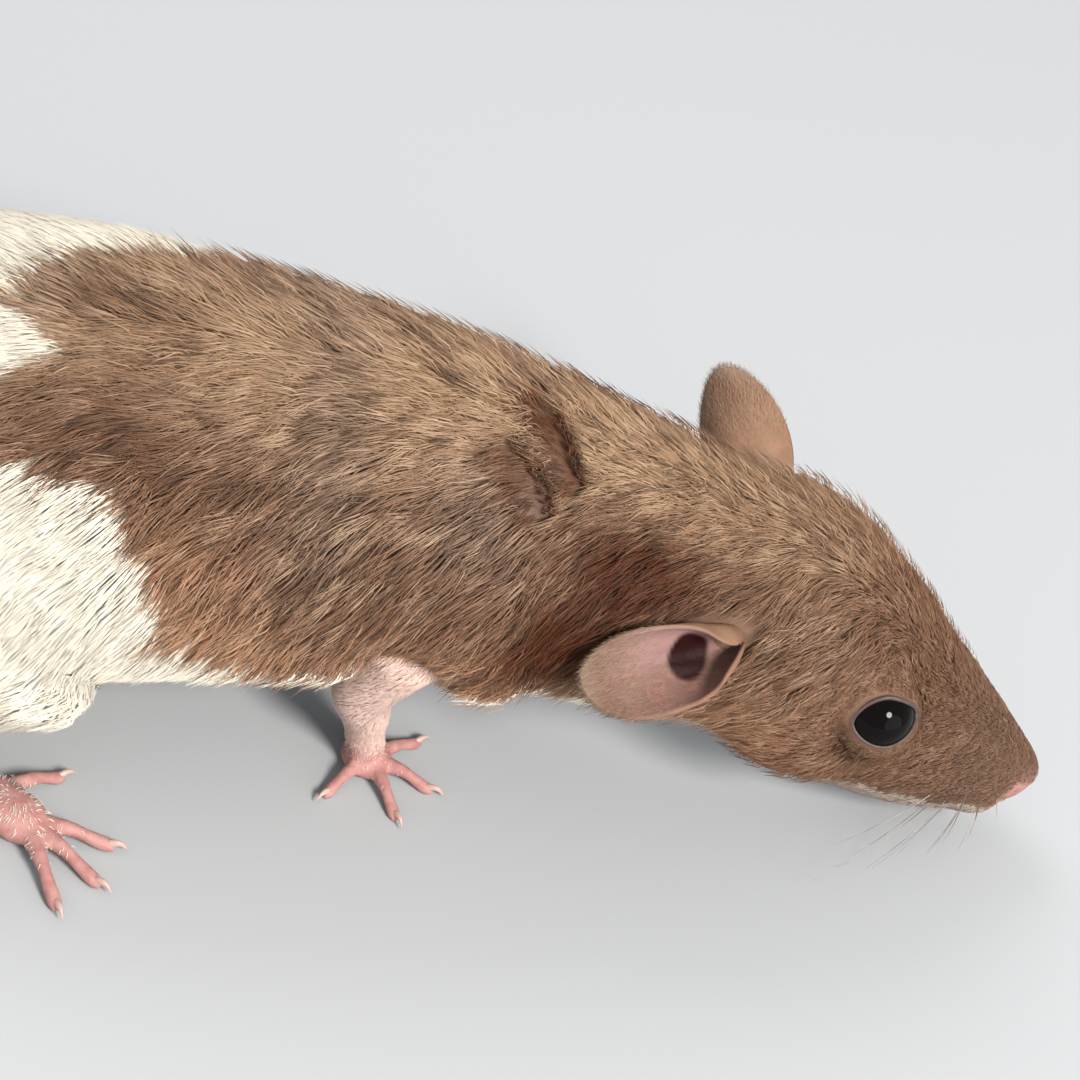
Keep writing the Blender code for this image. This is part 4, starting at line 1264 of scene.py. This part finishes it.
lock_tone = 0.5 + 0.5 * ripple(roots[leader], 2.4, 25) + 0.25 * rng.normal(size=TUFTS)[leader]
layers["tone"] = np.clip(0.5 * rng.random(TUFTS) + 0.5 * lock_tone, 0.0, 1.0)
layers["ticking"] = 0.35 + 0.65 * step(16.0, 52.0, back)
clear = ~(in_cup(roots) | in_cup(middles) | in_cup(tips))
on_leg = (roots[:, 2] < 10.5) & (back > 48.0)
coat_look = coat_finish()
spots = np.zeros((TUFTS, 2))
for name, start, end, divided, slot in COAT_PARTS:
    for ending, side in divided:
        chosen = (back >= start) & (back < end) & ~on_leg & clear
        if side:
            chosen &= (angle * side) >= 0.0
        spots[chosen] = np.stack([spread(back[chosen]), spread(angle[chosen])], axis=1)
        tuft_mesh(name + ending, tufts, chosen, spots, layers, coat_look)

feet = np.array([(leg[1] - 4.0, leg[2]) for leg in FORELEGS + HINDLEGS])
which = np.argmin(np.linalg.norm(roots[:, None, :2] - feet, axis=2), axis=1)
turn_round = np.arctan2(roots[:, 1] - feet[which, 1], roots[:, 0] - feet[which, 0]) / (2.0 * math.pi) + 0.5
leg_strip = 0.02 + (which + 0.02 + 0.94 * turn_round)[on_leg] * 0.24
spots[on_leg] = np.stack([leg_strip, spread(roots[on_leg, 2])], axis=1)
tuft_mesh("coat_legs", tufts, on_leg & clear, spots, layers, coat_look)

# Fuzz of the ears
# Very short fine pale hairs that lie along both faces of the ears towards the rim. They are spindles like
# those of the coat, rooted in the skin of the ears.
FUZZ_TUFTS = 3600
FUZZ_WIDTH = 0.036


def fuzz_finish():
    finish, wires, shader = new_finish("ear fuzz", 0.6, 0.3)
    paint(wires, shader, wires.layer("tone").mix((0.30, 0.18, 0.11), (0.46, 0.32, 0.23)))
    return finish


parts = []
for leaf, (name, root, along, facing, ear_length, half_width, rows) in zip(leaves, EARS):
    place = ear_place(root, along, facing)
    fuzz_roots, fuzz_ups = seed_roots(
        leaf.data, lambda places: step(0.3, 1.0, in_frame(places, place)[:, 0] / ear_length), FUZZ_TUFTS, rng)
    local = in_frame(fuzz_roots, place)
    lie = flattened(np.tile(np.array(along), (FUZZ_TUFTS, 1)), fuzz_ups)
    lie = unit(lie + rng.normal(0.0, 0.22, (FUZZ_TUFTS, 3)))
    reach = rng.uniform(0.5, 1.0, FUZZ_TUFTS)[:, None]
    parts.append({"root": fuzz_roots - fuzz_ups * 0.05,
                  "middle": fuzz_roots + lie * reach * RING_AT + fuzz_ups * 0.12,
                  "tip": fuzz_roots + lie * reach + fuzz_ups * 0.2,
                  "width": np.full(FUZZ_TUFTS, FUZZ_WIDTH), "up": fuzz_ups, "soft": np.zeros(FUZZ_TUFTS),
                  "spot": np.stack([spread(local[:, 0]), spread(local[:, 1])], axis=1)})
fuzz = {key: np.concatenate([part[key] for part in parts]) for key in parts[0]}
fuzz["spot"] *= (0.48, 1.0)
fuzz["spot"][FUZZ_TUFTS:, 0] += 0.5
tuft_mesh("ear_fuzz", fuzz, np.ones(2 * FUZZ_TUFTS, dtype=bool), fuzz["spot"],
          {"tone": rng.random(2 * FUZZ_TUFTS)}, fuzz_finish())

# Whiskers
# Long tapered hairs in rows on the pads of the muzzle, dark in places and pale in others, that sweep back
# and droop under their own weight.
WHISKER_ROWS = ((1.4, 3), (0.0, 4), (-1.4, 4), (-2.6, 3))


def whisker(bm, start, way, length, radius, droop):
    """One hair. Its way is where it leaves the skin, in the head's frame."""
    knots = []
    for t in np.linspace(0.0, 1.0, 7):
        spot = head @ start + head.to_3x3() @ way * (length * t)
        spot.x -= 0.22 * length * t * t
        spot.z -= droop * length * t * t
        knots.append((*spot, radius * (1.0 - 0.86 * t)))
    tube(bm, knots, 1.0, 15, 5)


def whisker_finish():
    finish, wires, shader = new_finish("whiskers", 0.35, 0.5)
    paint(wires, shader, wires.noise(220.0).rise(0.4, 0.6).mix((0.17, 0.12, 0.095), (0.55, 0.46, 0.38)))
    return finish


bm = bmesh.new()
for side in (RIGHT, LEFT):
    for row, (up, count) in enumerate(WHISKER_ROWS):
        for k in range(count):
            backness = (k + 0.5 * (row % 2)) / 3.5
            from_pad = Vector((-3.6 - 7.0 * backness, 0.0, -4.2 + up))
            way = Vector((0.30 - 0.95 * backness, side * 0.86, -0.30 + 0.22 * up + rng.normal(0.0, 0.07)))
            spot = coat_tree.ray_cast(head @ from_pad, head.to_3x3() @ Vector((0.0, side, 0.0)))[0]
            start = head.inverted() @ spot - Vector((0.0, side * 0.25, 0.0))
            length = (4.0 + 9.0 * backness) * rng.uniform(0.75, 1.15)
            whisker(bm, start, way.normalized(), length, 0.045 + 0.01 * backness, 0.05 + 0.10 * rng.random())
for vert in bm.verts:
    vert.co.z = max(vert.co.z, 0.4)
bmesh.ops.recalc_face_normals(bm, faces=bm.faces)
settle(bm, "whiskers", slot="coat").data.materials.append(whisker_finish())

# Floor, camera and light
# A pale plain floor, a camera that looks down on the rat's right side with the level ground tilted in its
# view, and soft light: a key from the front and above, a wide fill and a back light.
TILT = math.radians(16.0)
LOOK_DOWN = math.radians(45.0)
PIXELS_PER_MM = 4.6
PANEL_MIDDLE = (275.0, 275.0)
NOSE_PIXEL = (509.0, 383.0)
FRAME_PIXELS = 506.0
CAMERA_DISTANCE = 345.0
SENSOR = 36.0
LIGHTS = (("key light", (0.30, -0.58, 0.60), 0.26, 8.6, (1.0, 0.97, 0.93)),
          ("fill light", (0.60, -0.70, 0.18), 0.9, 2.4, (0.93, 0.96, 1.0)),
          ("back light", (-0.4, 0.5, 0.65), 0.6, 3.0, (1.0, 0.98, 0.96)))

across = Vector((math.cos(TILT), 0.0, math.sin(TILT)))
behind = Vector((-math.sin(TILT) * math.cos(LOOK_DOWN), -math.sin(LOOK_DOWN),
                 math.cos(TILT) * math.cos(LOOK_DOWN)))
upward = behind.cross(across)
middle = (head.translation + across * ((PANEL_MIDDLE[0] - NOSE_PIXEL[0]) / PIXELS_PER_MM)
          + upward * ((NOSE_PIXEL[1] - PANEL_MIDDLE[1]) / PIXELS_PER_MM))
lens = bpy.data.cameras.new("camera")
lens.sensor_width = SENSOR
lens.lens = SENSOR * CAMERA_DISTANCE / (FRAME_PIXELS / PIXELS_PER_MM)
lens.clip_start = 0.01
camera = linked("camera", lens)
camera.matrix_world = (Matrix.Translation(to_solids @ (middle + behind * CAMERA_DISTANCE))
                       @ Matrix((across, upward, behind)).transposed().to_4x4())
bpy.context.scene.camera = camera

bm = bmesh.new()
bmesh.ops.create_grid(bm, x_segments=8, y_segments=8, size=3.0)
floor = scratch_object("floor", bm)
floor.data.materials.append(
    clouded_finish("pale floor", 0.85, 0.15, 3.0, (0.50, 0.51, 0.52), (0.53, 0.54, 0.55))[0])

heart = to_solids @ Vector((-60.0, 0.0, 25.0))
for name, way, size, power, colour in LIGHTS:
    light = bpy.data.lights.new(name, "AREA")
    light.shape = "DISK"
    light.size = size
    light.energy = power
    light.color = colour
    to_lamp = Vector(way).normalized().to_track_quat("Z", "Y").to_matrix().to_4x4()
    linked(name, light).matrix_world = Matrix.Translation(heart + Vector(way)) @ to_lamp
world = bpy.data.worlds.new("studio")
world.use_nodes = True
sky = world.node_tree.nodes["Background"].inputs
sky["Color"].default_value = (0.80, 0.82, 0.85, 1.0)
sky["Strength"].default_value = 0.7
bpy.context.scene.world = world
bpy.context.scene.view_settings.view_transform = "Standard"
bpy.context.scene.cycles.max_bounces = 1
bpy.context.scene.cycles.debug_use_spatial_splits = True
